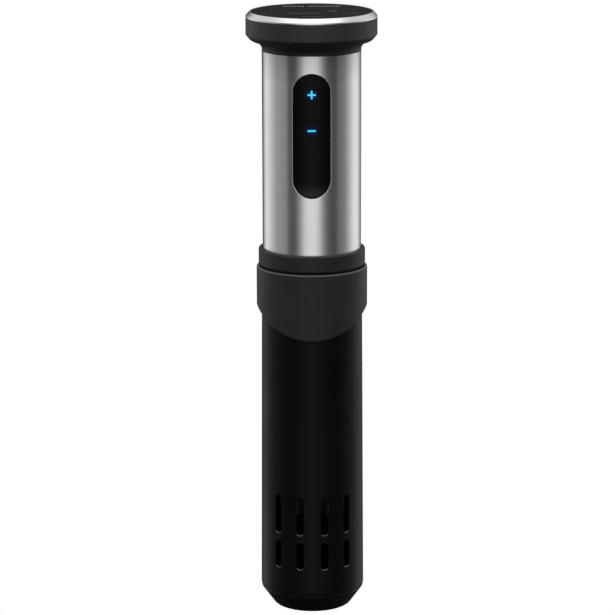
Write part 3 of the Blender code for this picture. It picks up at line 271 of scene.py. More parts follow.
def turned_metal(name, colour, roughness, pitch=3500.0, lines=0.06, metallic=1.0):
    """Metal with faint turning marks: rings round the axis on a face, hoops on a side."""
    p = Paint(name, colour, roughness, metallic)
    _, z, radius = round_tube(p)
    marks = p.noise(p.vector(p.math("MULTIPLY", radius, pitch), 0.0, p.math("MULTIPLY", z, pitch)), 1.0, 2.0)
    cloud = p.noise(p.place(), 60.0, 3.0)
    dark = [c * 0.88 for c in colour]
    p.link("Base Color", p.blend(p.spread(cloud, 0.0, 1.0), dark, colour))
    p.link("Roughness", p.math("ADD", p.spread(marks, roughness - 0.04, roughness + 0.04),
                               p.spread(cloud, -0.02, 0.03)))
    p.bump(marks, lines, 0.00002)
    return p.mat


def plain_metal(name, colour, roughness, tint=None):
    """Drawn or plated metal: slow stains, light scratches, an optional heat tint."""
    p = Paint(name, colour, roughness, 1.0)
    at = p.place()
    stain = p.noise(at, 75.0, 4.0)
    scratch = p.noise(p.node("ShaderNodeMapping", Vector=at, Scale=(900.0, 900.0, 90.0)).outputs[0], 1.0, 3.0)
    second = tint or [c * 0.82 for c in colour]
    p.link("Base Color", p.blend(p.spread(stain, 0.0, 1.0, 0.4, 0.75), colour, second))
    p.link("Roughness", p.math("ADD", p.spread(scratch, roughness - 0.05, roughness + 0.07),
                               p.spread(stain, 0.0, 0.06)))
    p.bump(scratch, 0.05, 0.00003)
    return p.mat


def rubber(name, colour):
    """Matt rubber with dust in its grain and paler edges."""
    p = Paint(name, colour, 0.8, Specular_IOR_Level=0.35)
    at = p.place()
    dust = p.noise(at, 90.0, 4.0)
    grain = p.noise(at, 3800.0, 2.0)
    dusty, worn = [c * 1.8 for c in colour], [c * 3.0 for c in colour]
    p.link("Base Color", p.wear(p.blend(p.spread(dust, 0.0, 1.0, 0.45, 0.8), colour, dusty), worn, 0.5))
    p.link("Roughness", p.spread(dust, 0.7, 0.86))
    p.bump(grain, 0.2, 0.00008)
    return p.mat


def circuit_board(name):
    """Green solder mask, lighter over the copper tracks under it, with tinned pads."""
    p = Paint(name, (0.010, 0.09, 0.035), 0.35, Specular_IOR_Level=0.6)
    at = p.place()
    tracks = p.node("ShaderNodeTexVoronoi", {"distance": "CHEBYCHEV"}, Vector=at,
                    Scale=420.0).outputs["Distance"]
    pads = p.node("ShaderNodeTexVoronoi", Vector=at, Scale=260.0).outputs["Distance"]
    is_track = p.spread(tracks, 0.0, 1.0, 0.42, 0.46)
    is_pad = p.spread(pads, 1.0, 0.0, 0.10, 0.13)
    green = p.blend(is_track, (0.008, 0.075, 0.028), (0.020, 0.140, 0.050))
    p.link("Base Color", p.blend(is_pad, green, (0.60, 0.60, 0.58)))
    p.link("Metallic", is_pad)
    p.link("Roughness", p.spread(p.noise(at, 200.0), 0.28, 0.42))
    p.bump(is_track, 0.15, 0.00004)
    return p.mat


def key_light(name):
    """Lit key symbol with a slight grain in its glow."""
    p = Paint(name, (0.02, 0.20, 0.40), 0.3)
    p.set("Emission Color", (0.030, 0.560, 0.960, 1.0))
    grain = p.noise(p.place(), 900.0, 1.0)
    p.link("Emission Strength", p.spread(grain, 0.95, 1.12))
    return p.mat


def touch_glass(name):
    """Gloss black panel with the soft halo of its lit keys, lighter grey towards its lower end and most in the
    middle of its width.
    """
    p = gloss_black(name, (0.004, 0.004, 0.0045), 0.05)
    x, _, z = p.xyz(p.place())[0:3]
    fade = p.spread(z, 0.030, 0.0, PANEL_Z0 + 1.8 * MM, PANEL_Z0 + 8.0 * MM)
    rim = p.spread(z, 0.1, 1.0, PANEL_Z0 + 0.4 * MM, PANEL_Z0 + 1.8 * MM)
    across = p.spread(p.math("ABSOLUTE", x), 1.0, 0.2, 0.0, PANEL_HALF)
    grey = p.math("ADD", p.math("MULTIPLY", p.math("MULTIPLY", fade, rim), across), 0.004)
    p.link("Base Color", p.vector(grey, grey, p.math("MULTIPLY", grey, 1.05)))
    halo, halo_r = 0.0, 4.6 * MM
    for key_z in (PLUS_Z, MINUS_Z):
        away = length_of(p, p.math("MULTIPLY", x, 0.85), p.math("SUBTRACT", z, key_z))
        halo = p.math("ADD", halo, p.math("POWER", p.spread(away, 1.0, 0.0, 0.0, halo_r), 2.2))
    p.set("Emission Color", (0.0, 0.018, 0.085, 1.0))
    p.link("Emission Strength", halo)
    return p.mat


def printed(name, colour):
    """Matt ink."""
    p = Paint(name, colour, 0.5)
    p.link("Roughness", p.spread(p.noise(p.place(), 1500.0), 0.4, 0.6))
    return p.mat


MATS = {
    # head: the darkening of its underside is painted shade
    "head": soft_touch("head_soft_touch", (0.0240, 0.0242, 0.0300), (0.0295, 0.0298, 0.0355), 0.33,
                       neck=(HEAD_EDGE_Z - 0.6 * MM, HEAD_EDGE_Z + 0.6 * MM)),
    # collar and sleeve: their lip colours are painted highlights on the top edges
    "collar": soft_touch("collar_soft_touch", (0.0160, 0.0166, 0.0205), (0.0200, 0.0206, 0.0250), 0.22,
                         lip=(COLLAR_Z1, COLLAR_R, 0.8 * MM, (0.030, 0.031, 0.035))),
    "sleeve": soft_touch("sleeve_soft_touch", (0.0175, 0.018, 0.0215), (0.0215, 0.022, 0.026), 0.24,
                         lip=(SLEEVE_Z1, SLEEVE_R, 0.6 * MM, (0.130, 0.132, 0.140))),
    "skirt": satin_plastic("skirt_satin", (0.0036, 0.0038, 0.0046), 0.36, specular=0.07),
    # painted highlight: a much lighter plastic colour for the lower halves of the slots' lips, standing in for
    # their catch-lights
    "slot_highlight": satin_plastic("slot_lip", (0.065, 0.065, 0.068), 0.22, specular=1.0),
    "cap": satin_plastic("cap_satin", (0.0060, 0.0062, 0.0070), 0.38, specular=0.10),
    "clamp": satin_plastic("clamp_plastic", (0.020, 0.0205, 0.023), 0.48, 1500.0, 0.16),
    "glass": gloss_black("display_gloss", (0.010, 0.010, 0.011)).mat,
    "panel": touch_glass("touch_gloss"),
    "steel": brushed_steel("grip_steel"),
    "rim": plain_metal("polished_edge", (0.95, 0.95, 0.95), 0.40),
    # painted shade: a near-black bulkhead that stands for the shade in the gap between the collars
    "gap_shade": rubber("painted_gap_shade", (0.003, 0.003, 0.003)),
    "ring": turned_metal("ring_silver", (0.71, 0.71, 0.715), 0.30, 2600.0, 0.05),
    "bright": plain_metal("bright_steel", (0.62, 0.62, 0.61), 0.20),
    "heater": plain_metal("heater_steel", (0.56, 0.55, 0.53), 0.30, (0.50, 0.42, 0.30)),
    "brass": turned_metal("brass", (0.66, 0.48, 0.20), 0.28),
    "core": turned_metal("motor_core", (0.22, 0.22, 0.23), 0.42, 1600.0, 0.25),
    "sink": plain_metal("sink_aluminium", (0.68, 0.68, 0.69), 0.38),
    "white": satin_plastic("light_plastic", (0.52, 0.52, 0.50), 0.42),
    "dark": satin_plastic("core_plastic", (0.030, 0.031, 0.034), 0.45, 1500.0, 0.14),
    "board": circuit_board("circuit_board"),
    "tape": satin_plastic("coil_tape", (0.55, 0.38, 0.05), 0.4, 700.0, 0.2),
    "pad": rubber("pad_rubber", (0.018, 0.018, 0.019)),
    "seal": rubber("seal_rubber", (0.060, 0.058, 0.056)),
    "key": key_light("icon_blue"),
    "print": printed("display_print", (0.028, 0.028, 0.031)),
    "print_bright": printed("display_print_bright", (0.24, 0.24, 0.25)),
}


# ---------------------------------------------------------------- mesh helpers
def add(name, mesh, material, body, replaces=(), extra=()):
    """Links a finished mesh as a piece that takes a slot and stands for CAD nodes."""
    obj = bpy.data.objects.new(name, mesh)
    bpy.context.scene.collection.objects.link(obj)
    for key in (material, *extra):
        mesh.materials.append(MATS[key])
    if body:
        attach(obj, body)
    if replaces:
        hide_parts(*replaces)
    return obj


def from_bmesh(bm, name, outward=True):
    """Turns a bmesh into a mesh and frees it, with its faces pointing outward if asked."""
    if outward:
        bmesh.ops.recalc_face_normals(bm, faces=bm.faces)
    mesh = bpy.data.meshes.new(name)
    bm.to_mesh(mesh)
    bm.free()
    return mesh


def smooth(mesh, degrees=32.0):
    mesh.shade_smooth()
    mesh.set_sharp_from_angle(angle=math.radians(degrees))
    return mesh


def rounded(corners, steps=5):
    """Outline from (a, b, radius) corners of a closed loop, with each corner rounded to its radius."""
    points = []
    count = len(corners)
    for i, (a, b, radius) in enumerate(corners):
        here = Vector((a, b))
        if radius <= 0:
            points.append(here)
            continue
        before = Vector(corners[i - 1][:2]) - here
        after = Vector(corners[(i + 1) % count][:2]) - here
        half = before.angle(after) / 2
        reach = min(radius / math.tan(half), before.length * 0.49, after.length * 0.49)
        before.normalize()
        after.normalize()
        start, end = here + before * reach, here + after * reach
        middle = here + (before + after).normalized() * (reach / math.cos(half))
        a0 = math.atan2(*(start - middle).yx)
        turn = math.atan2(*(end - middle).yx) - a0
        turn = (turn + math.pi) % (2 * math.pi) - math.pi
        size = (start - middle).length
        for k in range(steps + 1):
            angle = a0 + turn * k / steps
            points.append(middle + Vector((math.cos(angle), math.sin(angle))) * size)
    return points


def revolve(outline, sides=FINE):
    """Closed outline of (radius, height) points spun round Z; points on the axis become poles."""
    return swept(lambda angle: outline, sides)


def swept(outline_at, sides=FINE):
    """Like revolve, with an outline that may change with the angle from the front."""
    turns = [2 * math.pi * k / sides for k in range(sides)]
    outlines = [outline_at(a) for a in turns]
    verts, rings = [], []
    for i, (r, z) in enumerate(outlines[0]):
        if r < 1e-7:
            rings.append([len(verts)])
            verts.append((0.0, 0.0, z))
        else:
            rings.append(list(range(len(verts), len(verts) + sides)))
            verts += [(o[i][0] * math.sin(a), -o[i][0] * math.cos(a), o[i][1])
                      for a, o in zip(turns, outlines)]
    faces = []
    for first, second in zip(rings, rings[1:] + rings[:1]):
        for k in range(sides):
            n = (k + 1) % sides
            quad = list(dict.fromkeys((first[k % len(first)], first[n % len(first)],
                                       second[n % len(second)], second[k % len(second)])))
            if len(quad) > 2:
                faces.append(quad)
    mesh = bpy.data.meshes.new("points")
    mesh.from_pydata(verts, [], faces)
    bm = bmesh.new()
    bm.from_mesh(mesh)
    bpy.data.meshes.remove(mesh)
    return smooth(from_bmesh(bm, "turned"))


def prism(outline, axis, start, end):
    """Closed outline extruded along an axis: the outline is in (x, z) for Y, in (x, y) for Z."""
    lift = {"Y": lambda a, b, t: (a, t, b), "Z": lambda a, b, t: (a, b, t)}[axis]
    bm = bmesh.new()
    face = bm.faces.new([bm.verts.new(lift(a, b, start)) for a, b in outline])
    made = bmesh.ops.extrude_face_region(bm, geom=[face])
    new = [v for v in made["geom"] if isinstance(v, bmesh.types.BMVert)]
    bmesh.ops.translate(bm, vec=Vector(lift(0.0, 0.0, end - start)), verts=new)
    return from_bmesh(bm, "prism")


def slot_outline(half, z0, z1, steps=24):
    """Upright slot with round ends, in (x, z)."""
    points = []
    for middle, start in ((z1 - half, 0.0), (z0 + half, math.pi)):
        points += [(half * math.cos(a), middle + half * math.sin(a))
                   for a in (start + math.pi * k / steps for k in range(steps + 1))]
    return points


def joined(meshes, name):
    bm = bmesh.new()
    for mesh in meshes:
        bm.from_mesh(mesh)
    return from_bmesh(bm, name, outward=False)


def moved(mesh, matrix):
    mesh.transform(matrix)
    return mesh


def carve(mesh, *steps):
    """Applies exact booleans, given as (operation, tool mesh), and returns the result."""
    scene = bpy.context.scene
    work = bpy.data.objects.new("work", mesh)
    scene.collection.objects.link(work)
    tools = []
    for operation, tool in steps:
        helper = bpy.data.objects.new("tool", tool)
        scene.collection.objects.link(helper)
        mod = work.modifiers.new("cut", "BOOLEAN")
        mod.operation, mod.object, mod.solver = operation, helper, "EXACT"
        tools.append(helper)
    depsgraph = bpy.context.evaluated_depsgraph_get()
    result = bpy.data.meshes.new_from_object(work.evaluated_get(depsgraph))
    for obj in (work, *tools):
        bpy.data.objects.remove(obj)
    return result


def ring_of_verts(bm, middle, first_axis, second_axis, radius, sides):
    return [bm.verts.new(middle + (first_axis * math.cos(a) + second_axis * math.sin(a)) * radius)
            for a in (2 * math.pi * k / sides for k in range(sides))]


def ring_faces(bm, first, second):
    """Quads between two rings of as many verts."""
    sides = len(first)
    return [bm.faces.new((first[k], first[(k + 1) % sides], second[(k + 1) % sides], second[k]))
            for k in range(sides)]


def rolled_edge(outline, radius_at, wire, split_z=None, sides=12):
    """Round lip along an upright outline at the front of a round wall, flush with its outer face.
    Faces below split_z take the second material."""
    middles = [Vector((x, -math.sqrt((radius_at(z) - wire) ** 2 - x ** 2), z)) for x, z in outline]
    bm = bmesh.new()
    rings = []
    for i, middle in enumerate(middles):
        along = (middles[(i + 1) % len(middles)] - middles[i - 1]).normalized()
        out = Vector((middle.x, middle.y, 0)).normalized()
        side = along.cross(out).normalized()
        rings.append(ring_of_verts(bm, middle, out, side, wire, sides))
    for first, second in zip(rings, rings[1:] + rings[:1]):
        for face in ring_faces(bm, first, second):
            face.smooth = True
            if split_z is not None:
                face.material_index = int(face.calc_center_median().z < split_z)
    return from_bmesh(bm, "rolled_edge")


def bevel(obj, width, segments, degrees):
    """Adds a modifier that rounds the edges sharper than an angle."""
    mod = obj.modifiers.new("edge", "BEVEL")
    mod.width = width
    mod.segments = segments
    mod.limit_method = "ANGLE"
    mod.angle_limit = math.radians(degrees)
    return mod


def bevelled(obj, width, segments):
    """Rounds the sharp edges of a new piece and keeps its broad faces flat to the eye."""
    bevel(obj, width, segments, 60.0).harden_normals = True
    obj.data.shade_smooth()


def even(obj):
    """Keeps broad faces flat to the eye beside small rounded edges."""
    mod = obj.modifiers.new("normals", "WEIGHTED_NORMAL")
    mod.keep_sharp = True
    mod.weight = 80


# ---------------------------------------------------------------- head
def make_head():
    neck = TUBE_R + 0.05 * MM
    inner = HEAD_R - 2.4 * MM
    spigot = TUBE_R - TUBE_WALL - 0.3 * MM
    opening = 22.5 * MM
    shelf = HEAD_NECK_Z + 9.3 * MM
    outline = rounded([
        (HEAD_R, HEAD_Z1, 0.35 * MM), (HEAD_R, HEAD_EDGE_Z, 0.9 * MM),
        (HEAD_R - 2.6 * MM, HEAD_EDGE_Z - 3.0 * MM, 3.5 * MM),
        (neck + 1.6 * MM, HEAD_EDGE_Z - 4.5 * MM, 2.6 * MM),
        (neck, HEAD_EDGE_Z - 7.0 * MM, 1.5 * MM), (neck, HEAD_NECK_Z, 0.25 * MM), (spigot, HEAD_NECK_Z, 0),
        (spigot, HEAD_Z0, 0), (opening, HEAD_Z0, 0), (opening, shelf, 0), (inner, shelf, 0),
        (inner, HEAD_Z1, 0.2 * MM)], 8)
    even(add("head_body", revolve(outline), "head", "root", ["head_shell"]))
    bore = LENS_R + 0.22 * MM
    ledge, ledge_z = bore - 1.8 * MM, LENS_Z0 - 0.3 * MM
    stem_out, stem_low = HEAD_R - 2.7 * MM, low("display_ring").z
    chamfer_low = RING_Z1 - (HEAD_R - bore) * 0.9
    ring = rounded([
        (bore, RING_Z1, 0.2 * MM), (bore + 0.45 * MM, RING_Z1, 0.3 * MM), (HEAD_R, chamfer_low, 0.9 * MM),
        (HEAD_R, RING_Z0, 0.15 * MM), (stem_out, RING_Z0, 0), (stem_out, stem_low, 0),
        (ledge, stem_low, 0), (ledge, ledge_z, 0), (bore, ledge_z, 0)], 6)
    even(add("head_ring", revolve(ring), "ring", "root", ["display_ring"]))
    glass = rounded([(0, LENS_Z1, 0), (LENS_R, LENS_Z1, 0.35 * MM), (LENS_R, LENS_Z0, 0), (0, LENS_Z0, 0)], 5)
    even(add("display_glass", revolve(glass), "glass", "root", ["display_lens"]))
    make_display_marks()


def flat_mark(points):
    """Ink half sunk into the top of the display's glass."""
    return prism(points, "Z", LENS_Z1 - 0.02 * MM, LENS_Z1 + 0.02 * MM)


def bar_mark(x, y, width, height):
    """Small bar centred on (x, y). Its sizes, like all of the marks', are in millimetres."""
    corners = [(x - width / 2, y - height / 2), (x + width / 2, y - height / 2),
               (x + width / 2, y + height / 2), (x - width / 2, y + height / 2)]
    return flat_mark(rounded([(a * MM, b * MM, 0.2 * MM) for a, b in corners], 3))


def ring_mark(x, y, radius, width, steps=28):
    outline = []
    for out, turns in ((radius + width / 2, range(steps + 1)), (radius - width / 2, range(steps, -1, -1))):
        outline += [(out * MM * math.sin(a), -out * MM * math.cos(a))
                    for a in (2 * math.pi * k / steps for k in turns)]
    return moved(flat_mark(outline), Matrix.Translation((x * MM, y * MM, 0)))


def make_display_marks():
    """Generic marks on the unlit display: ticks at the back, one short dash, and faint bars and rings."""
    bar_y, front_y, tick_y = -9.8, -23.5, 20.0
    faint = [bar_mark(-3.8, bar_y, 19.5, 1.6)]
    faint += [bar_mark(x, front_y, 1.1, 1.6) for x in (-4.5, -2.7, -0.9, 0.9, 2.7, 4.5)]
    faint += [ring_mark(x, bar_y, 1.6, 0.4) for x in (-25.5, -20.5, 18.5, 23.5)]
    add("display_marks", joined(faint, "display_marks"), "print", "root")
    ticks = [bar_mark(k * 1.5, tick_y, 0.75, 3.0) for k in range(-10, 11) if k != -2]
    ticks.append(bar_mark(11.3, 0.0, 4.2, 0.9))
    add("display_ticks", joined(ticks, "display_ticks"), "print_bright", "root")


# ---------------------------------------------------------------- grip tube and touch panel
def make_grip():
    lip = 0.3 * MM
    gap = 0.25 * MM + lip
    outside, inside = TUBE_R * 1.3, TUBE_R / 3      # a cutter's ends, either side of the wall
    edge = slot_outline(PANEL_HALF + gap, PANEL_Z0 - gap, PANEL_Z1 + gap, 40)
    gland_r = 5.3 * MM
    gland_z = (low("cord_gland").z + high("cord_gland").z) / 2
    hole = revolve([(gland_r, outside), (gland_r, inside), (0, inside), (0, outside)], PIN)
    moved(hole, Matrix.Translation((0, 0, gland_z)) @ Matrix.Rotation(-math.pi / 2, 4, "X"))
    tube = carve(pipe(TUBE_R, TUBE_WALL, TUBE_Z0, TUBE_Z1),
                 ("DIFFERENCE", prism(edge, "Y", -outside, -inside)), ("DIFFERENCE", hole))
    even(add("grip_tube", smooth(tube), "steel", "root", ["steel_tube"]))
    rim = rolled_edge(edge, lambda z: TUBE_R, lip)
    add("grip_window_rim", rim, "rim", "root")
    spare = 2 * MM
    slab = pipe(TUBE_R - 0.02 * MM, 1.7 * MM, PANEL_Z0 - spare, PANEL_Z1 + spare)
    outline = prism(slot_outline(PANEL_HALF, PANEL_Z0, PANEL_Z1, 40), "Y", -outside, -inside)
    panel = carve(slab, ("INTERSECT", outline))
    bevelled(add("touch_glass", panel, "panel", "root", ["touch_panel"]), 0.25 * MM, 3)
    make_keys()


def pipe(radius, wall, z0, z1):
    return revolve([(radius, z1), (radius, z0), (radius - wall, z0), (radius - wall, z1)], FINE * 2)


def wrapped_bar(half_w, half_h, z, radius, lift):
    """Bar with rounded corners laid on the tube, its width along the circumference."""
    corner_r = min(half_w, half_h) * 0.5
    corners = ((-half_w, -half_h), (half_w, -half_h), (half_w, half_h), (-half_w, half_h))
    outline = rounded([(a, b, corner_r) for a, b in corners])
    bm = bmesh.new()
    face = bm.faces.new([bm.verts.new((a, 0.0, z + b)) for a, b in outline])
    bmesh.ops.triangulate(bm, faces=[face])
    bmesh.ops.subdivide_edges(bm, edges=bm.edges, cuts=2)
    made = bmesh.ops.extrude_face_region(bm, geom=list(bm.faces))
    for v in made["geom"]:
        if isinstance(v, bmesh.types.BMVert):
            v.co.y = lift
    for v in bm.verts:
        out = radius + (lift if v.co.y > 0 else -lift)
        angle = v.co.x / radius
        v.co.x, v.co.y = out * math.sin(angle), -out * math.cos(angle)
    return from_bmesh(bm, "bar")


def make_keys():
    long_half, thin_half = 2.25 * MM, 0.47 * MM
    lift = 0.03 * MM        # the plus's upright stands a little prouder, so that no two faces coincide
    plus = joined([wrapped_bar(long_half, thin_half, PLUS_Z, TUBE_R, lift),
                   wrapped_bar(thin_half, long_half, PLUS_Z, TUBE_R, lift * 1.3)], "plus")
    add("key_plus", plus, "key", "root")
    add("key_minus", wrapped_bar(long_half, thin_half, MINUS_Z, TUBE_R, lift), "key", "root")


# ---------------------------------------------------------------- collars
def make_collars():
    bore = TUBE_R + 0.25 * MM
    outline = rounded([(COLLAR_R, COLLAR_Z1, 1.1 * MM), (COLLAR_R, COLLAR_Z0, 0.6 * MM), (bore, COLLAR_Z0, 0),
                       (bore, COLLAR_Z1, 0.3 * MM)], 8)
    even(add("grip_collar", revolve(outline), "collar", "root", ["upper_collar"]))
    make_sleeve()


def make_sleeve():
    """Swivelling sleeve whose lower edge follows a circular arc seen from the front, with its rear boss."""
    lip_z0, lip_z1 = SLEEVE_Z1 - 3.0 * MM, SLEEVE_Z1 - 0.7 * MM
    lip_bore = SKIRT_R1 - SKIRT_WALL + 0.4 * MM
    arc = SLEEVE_R + 7.5 * MM       # radius of the apron's edge

    def edge(radius, angle):
        return APRON_Z + arc - math.sqrt(arc ** 2 - (radius * math.sin(angle)) ** 2)

    def outline(angle):
        return rounded([(SLEEVE_R, SLEEVE_Z1, 0.8 * MM), (SLEEVE_R, edge(SLEEVE_R, angle), 0.9 * MM),
                        (SLEEVE_BORE, edge(SLEEVE_BORE, angle), 0.3 * MM), (SLEEVE_BORE, lip_z0, 0),
                        (lip_bore, lip_z0, 0), (lip_bore, lip_z1, 0), (SLEEVE_BORE, lip_z1, 0),
                        (SLEEVE_BORE, SLEEVE_Z1, 0.25 * MM)], 7)

    even(add("sleeve_body", swept(outline), "sleeve", "clamp_sleeve", ["clamp_sleeve"]))
    half, boss_z0, boss_z1 = 12 * MM, SLEEVE_Z1 - 27 * MM, SLEEVE_Z1 - 3.5 * MM
    corners = ((-half, boss_z0), (half, boss_z0), (half, boss_z1), (-half, boss_z1))
    face = rounded([(a, b, 2.5 * MM) for a, b in corners], 6)
    core = SLEEVE_R - 1.2 * MM
    inside = revolve([(0, SLEEVE_Z1), (core, SLEEVE_Z1), (core, APRON_Z), (0, APRON_Z)])
    boss = carve(prism(face, "Y", SLEEVE_R / 2, BOSS_Y), ("DIFFERENCE", inside))
    bevelled(add("sleeve_boss", boss, "collar", "clamp_sleeve"), 0.8 * MM, 4)


# ---------------------------------------------------------------- skirt and foot
def make_skirt():
    bore0, bore1 = SKIRT_R0 - SKIRT_WALL, SKIRT_R1 - SKIRT_WALL
    outline = rounded([(SKIRT_R1, SKIRT_Z1, 0.4 * MM), (SKIRT_R0, SKIRT_Z0, 0.25 * MM),
                       (bore0, SKIRT_Z0, 0.2 * MM), (bore1, SKIRT_Z1, 0.3 * MM)], 4)

    def skirt_radius(z):
        return SKIRT_R0 + (SKIRT_R1 - SKIRT_R0) * (z - SKIRT_Z0) / (SKIRT_Z1 - SKIRT_Z0)

    slots, lips = [], []
    for angle in SLOT_ANGLES:
        turn = Matrix.Rotation(math.radians(angle), 4, "Z")
        for z0, z1 in SLOT_ROWS:
            cut = (SLOT_HALF + SLOT_LIP, z0 - SLOT_LIP, z1 + SLOT_LIP)
            tool = prism(slot_outline(*cut, 16), "Y", -SKIRT_R0 * 1.2, -SKIRT_R0 * 0.5)
            slots.append(moved(tool, turn))
            # the lip's faces below the split take the painted highlight colour
            lip = rolled_edge(slot_outline(*cut, 24), skirt_radius, SLOT_LIP, z0 + SLOT_HALF * 0.3)
            lips.append(moved(lip, turn))
    shape = carve(revolve(outline, FINE * 2), ("DIFFERENCE", joined(slots, "slots")))
    even(add("skirt_tube", smooth(shape), "skirt", "skirt", ["skirt"]))
    add("skirt_slot_lips", joined(lips, "slot_lips"), "skirt", "skirt", extra=["slot_highlight"])


def make_foot():
    top, inside_low = CAP_TOP_Z, 2.2 * MM
    side_low = top - 1.5 * MM
    spigot, spigot_top = SKIRT_R0 - SKIRT_WALL - 0.35 * MM, high("end_cap").z
    inner = spigot - 1.95 * MM
    outline = rounded([
        (0, inside_low, 0), (FOOT_FLAT_R + 3 * MM, inside_low, 1.5 * MM), (inner, side_low, 1.0 * MM),
        (inner, spigot_top, 0.3 * MM), (spigot, spigot_top, 0.4 * MM), (spigot, top, 0),
        (CAP_R, top, 0.05 * MM), (CAP_R - 0.15 * MM, side_low, 2.2 * MM),
        (FOOT_FLAT_R + 5.4 * MM, 1.3 * MM, 4.5 * MM), (FOOT_FLAT_R - 1.5 * MM, 0, 2.5 * MM), (0, 0, 0)], 8)
    even(add("foot_cap", revolve(outline), "cap", "end_cap", ["end_cap"]))


# ---------------------------------------------------------------- clamp spring
def wire_mesh(points, radius, sides=14):
    """Round wire along points, with its ends closed."""
    bm = bmesh.new()
    rings = []
    side = Vector((1, 0, 0))
    for i, point in enumerate(points):
        along = (points[min(i + 1, len(points) - 1)] - points[max(i - 1, 0)]).normalized()
        side = (side - along * side.dot(along)).normalized()
        rings.append(ring_of_verts(bm, point, side, along.cross(side), radius, sides))
    for first, second in zip(rings, rings[1:]):
        ring_faces(bm, first, second)
    bm.faces.new(rings[0][::-1])
    bm.faces.new(rings[-1])
    return smooth(from_bmesh(bm, "wire"), 50.0)


def make_spring():
    """Torsion spring round the pin, with a leg out from each end of its coil."""
    wire, coil, turns, steps, leg_steps = 0.45 * MM, 2.6 * MM, 4.25, 204, 6
    half = high("return_spring").x - wire
    points = [Vector((-half, low("return_spring").y + wire * 0.2, PIN_Z + coil))]
    for k in range(steps + 1):
        angle = math.pi / 2 - 2 * math.pi * turns * k / steps
        points.append(Vector((half * (2 * k / steps - 1), PIN_Y + coil * math.cos(angle),
                              PIN_Z + coil * math.sin(angle))))
    foot = Vector((half, PIN_Y + 1.95 * MM, low("return_spring").z + wire * 0.2))
    points += [points[-1].lerp(foot, k / leg_steps) for k in range(1, leg_steps + 1)]
    spring = add("clamp_spring", wire_mesh(points, wire), "bright", None, ["return_spring"])
    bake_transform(spring)


# ---------------------------------------------------------------- CAD nodes kept, with finer edges
def smooth_group():
    """Geometry nodes: shade smooth, with edges sharper than an angle kept sharp."""
    group = bpy.data.node_groups.new("smooth_by_angle", "GeometryNodeTree")
    group.interface.new_socket("Geometry", in_out="INPUT", socket_type="NodeSocketGeometry")
    group.interface.new_socket("Geometry", in_out="OUTPUT", socket_type="NodeSocketGeometry")
    nodes, links = group.nodes, group.links
    start, end = nodes.new("NodeGroupInput"), nodes.new("NodeGroupOutput")
    faces = nodes.new("GeometryNodeSetShadeSmooth")
    edges = nodes.new("GeometryNodeSetShadeSmooth")
    edges.domain = "EDGE"
    angle = nodes.new("GeometryNodeInputMeshEdgeAngle")
    below = nodes.new("FunctionNodeCompare")
    below.data_type, below.operation = "FLOAT", "LESS_THAN"
    below.inputs[1].default_value = math.radians(36)
    links.new(angle.outputs[0], below.inputs[0])
    links.new(start.outputs[0], faces.inputs[0])
    links.new(faces.outputs[0], edges.inputs[0])
    links.new(below.outputs[0], edges.inputs["Shade Smooth"])
    links.new(edges.outputs[0], end.inputs[0])
    return group


KEPT = {
    "board": ["display_board", "touch_board", "main_board"],
    "dark": ["led_display", "buzzer", "motor_mount", "capacitor", "pump_plate", "impeller"],
    # painted shade in the gap between the collars
    "gap_shade": ["bulkhead"],
    "bright": ["sleeve_retainer", "shaft_bearing", "motor_case", "motor_screw_1", "motor_screw_2",
               "board_screw_1", "board_screw_2", "temperature_probe", "level_rod_long", "level_rod_short",
               "tie_rod_1", "tie_rod_2", "tie_rod_3", "shaft_tube", "drive_shaft", "hinge_pin",
               "bracket_screw_1", "bracket_screw_2"],
    "heater": ["heater_coil"],
    "white": ["motor_end_cap", "relay", "shaft_coupling"],
    "brass": ["standoff_1", "standoff_2", "standoff_3", "lower_bushing", "impeller_nut"],
    "seal": ["body_seal", "shaft_seal"],
    "pad": ["cord_gland", "fixed_pad", "lever_pad"],
    "tape": ["transformer"],
    "sink": ["heat_sink"],
    "core": ["motor_rotor"],
    "key": ["plus_light_guide", "minus_light_guide"],
    "clamp": ["clamp_bracket", "clamp_lever"],
}
# bevel widths in millimetres
BEVELS = {"clamp_bracket": 0.5, "clamp_lever": 0.6, "fixed_pad": 0.4, "lever_pad": 0.4, "pump_plate": 0.35,
          "impeller": 0.25, "bulkhead": 0.2, "motor_case": 0.3, "relay": 0.4, "transformer": 0.3,
          "led_display": 0.3, "cord_gland": 0.4}


def dress_kept_nodes():
    group = smooth_group()
    for key, nodes in KEPT.items():
        for node in nodes:
            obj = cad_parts[node]
            if not obj.material_slots:
                obj.data.materials.append(MATS[key])
            for slot in obj.material_slots:
                slot.link = "OBJECT"
                slot.material = MATS[key]
            obj.modifiers.new("weld", "WELD").merge_threshold = 0.01 * MM
            if node in BEVELS:
                bevel(obj, BEVELS[node] * MM, 2, 50.0)
            obj.modifiers.new("shade", "NODES").node_group = group


# ---------------------------------------------------------------- camera, surroundings, light
AIM = Vector((-0.00245, 0.0, 0.16950))
CAMERA_AWAY = 1.7068
CAMERA_DOWN = math.radians(12.8)
CAMERA_ROLL = math.radians(-0.12)
CAMERA_LENS = 182.0


def make_camera():
    data = bpy.data.cameras.new("camera")
    data.sensor_width = 36.0
    data.lens = CAMERA_LENS
    data.clip_start, data.clip_end = 0.05, 50.0
    camera = bpy.data.objects.new("camera", data)
    bpy.context.scene.collection.objects.link(camera)
    away = Vector((0.0, -math.cos(CAMERA_DOWN), math.sin(CAMERA_DOWN)))
    camera.location = AIM + away * CAMERA_AWAY
    roll = Matrix.Rotation(CAMERA_ROLL, 4, away)
    camera.rotation_euler = (roll @ (-away).to_track_quat("-Z", "Y").to_matrix().to_4x4()).to_euler()
    bpy.context.scene.camera = camera


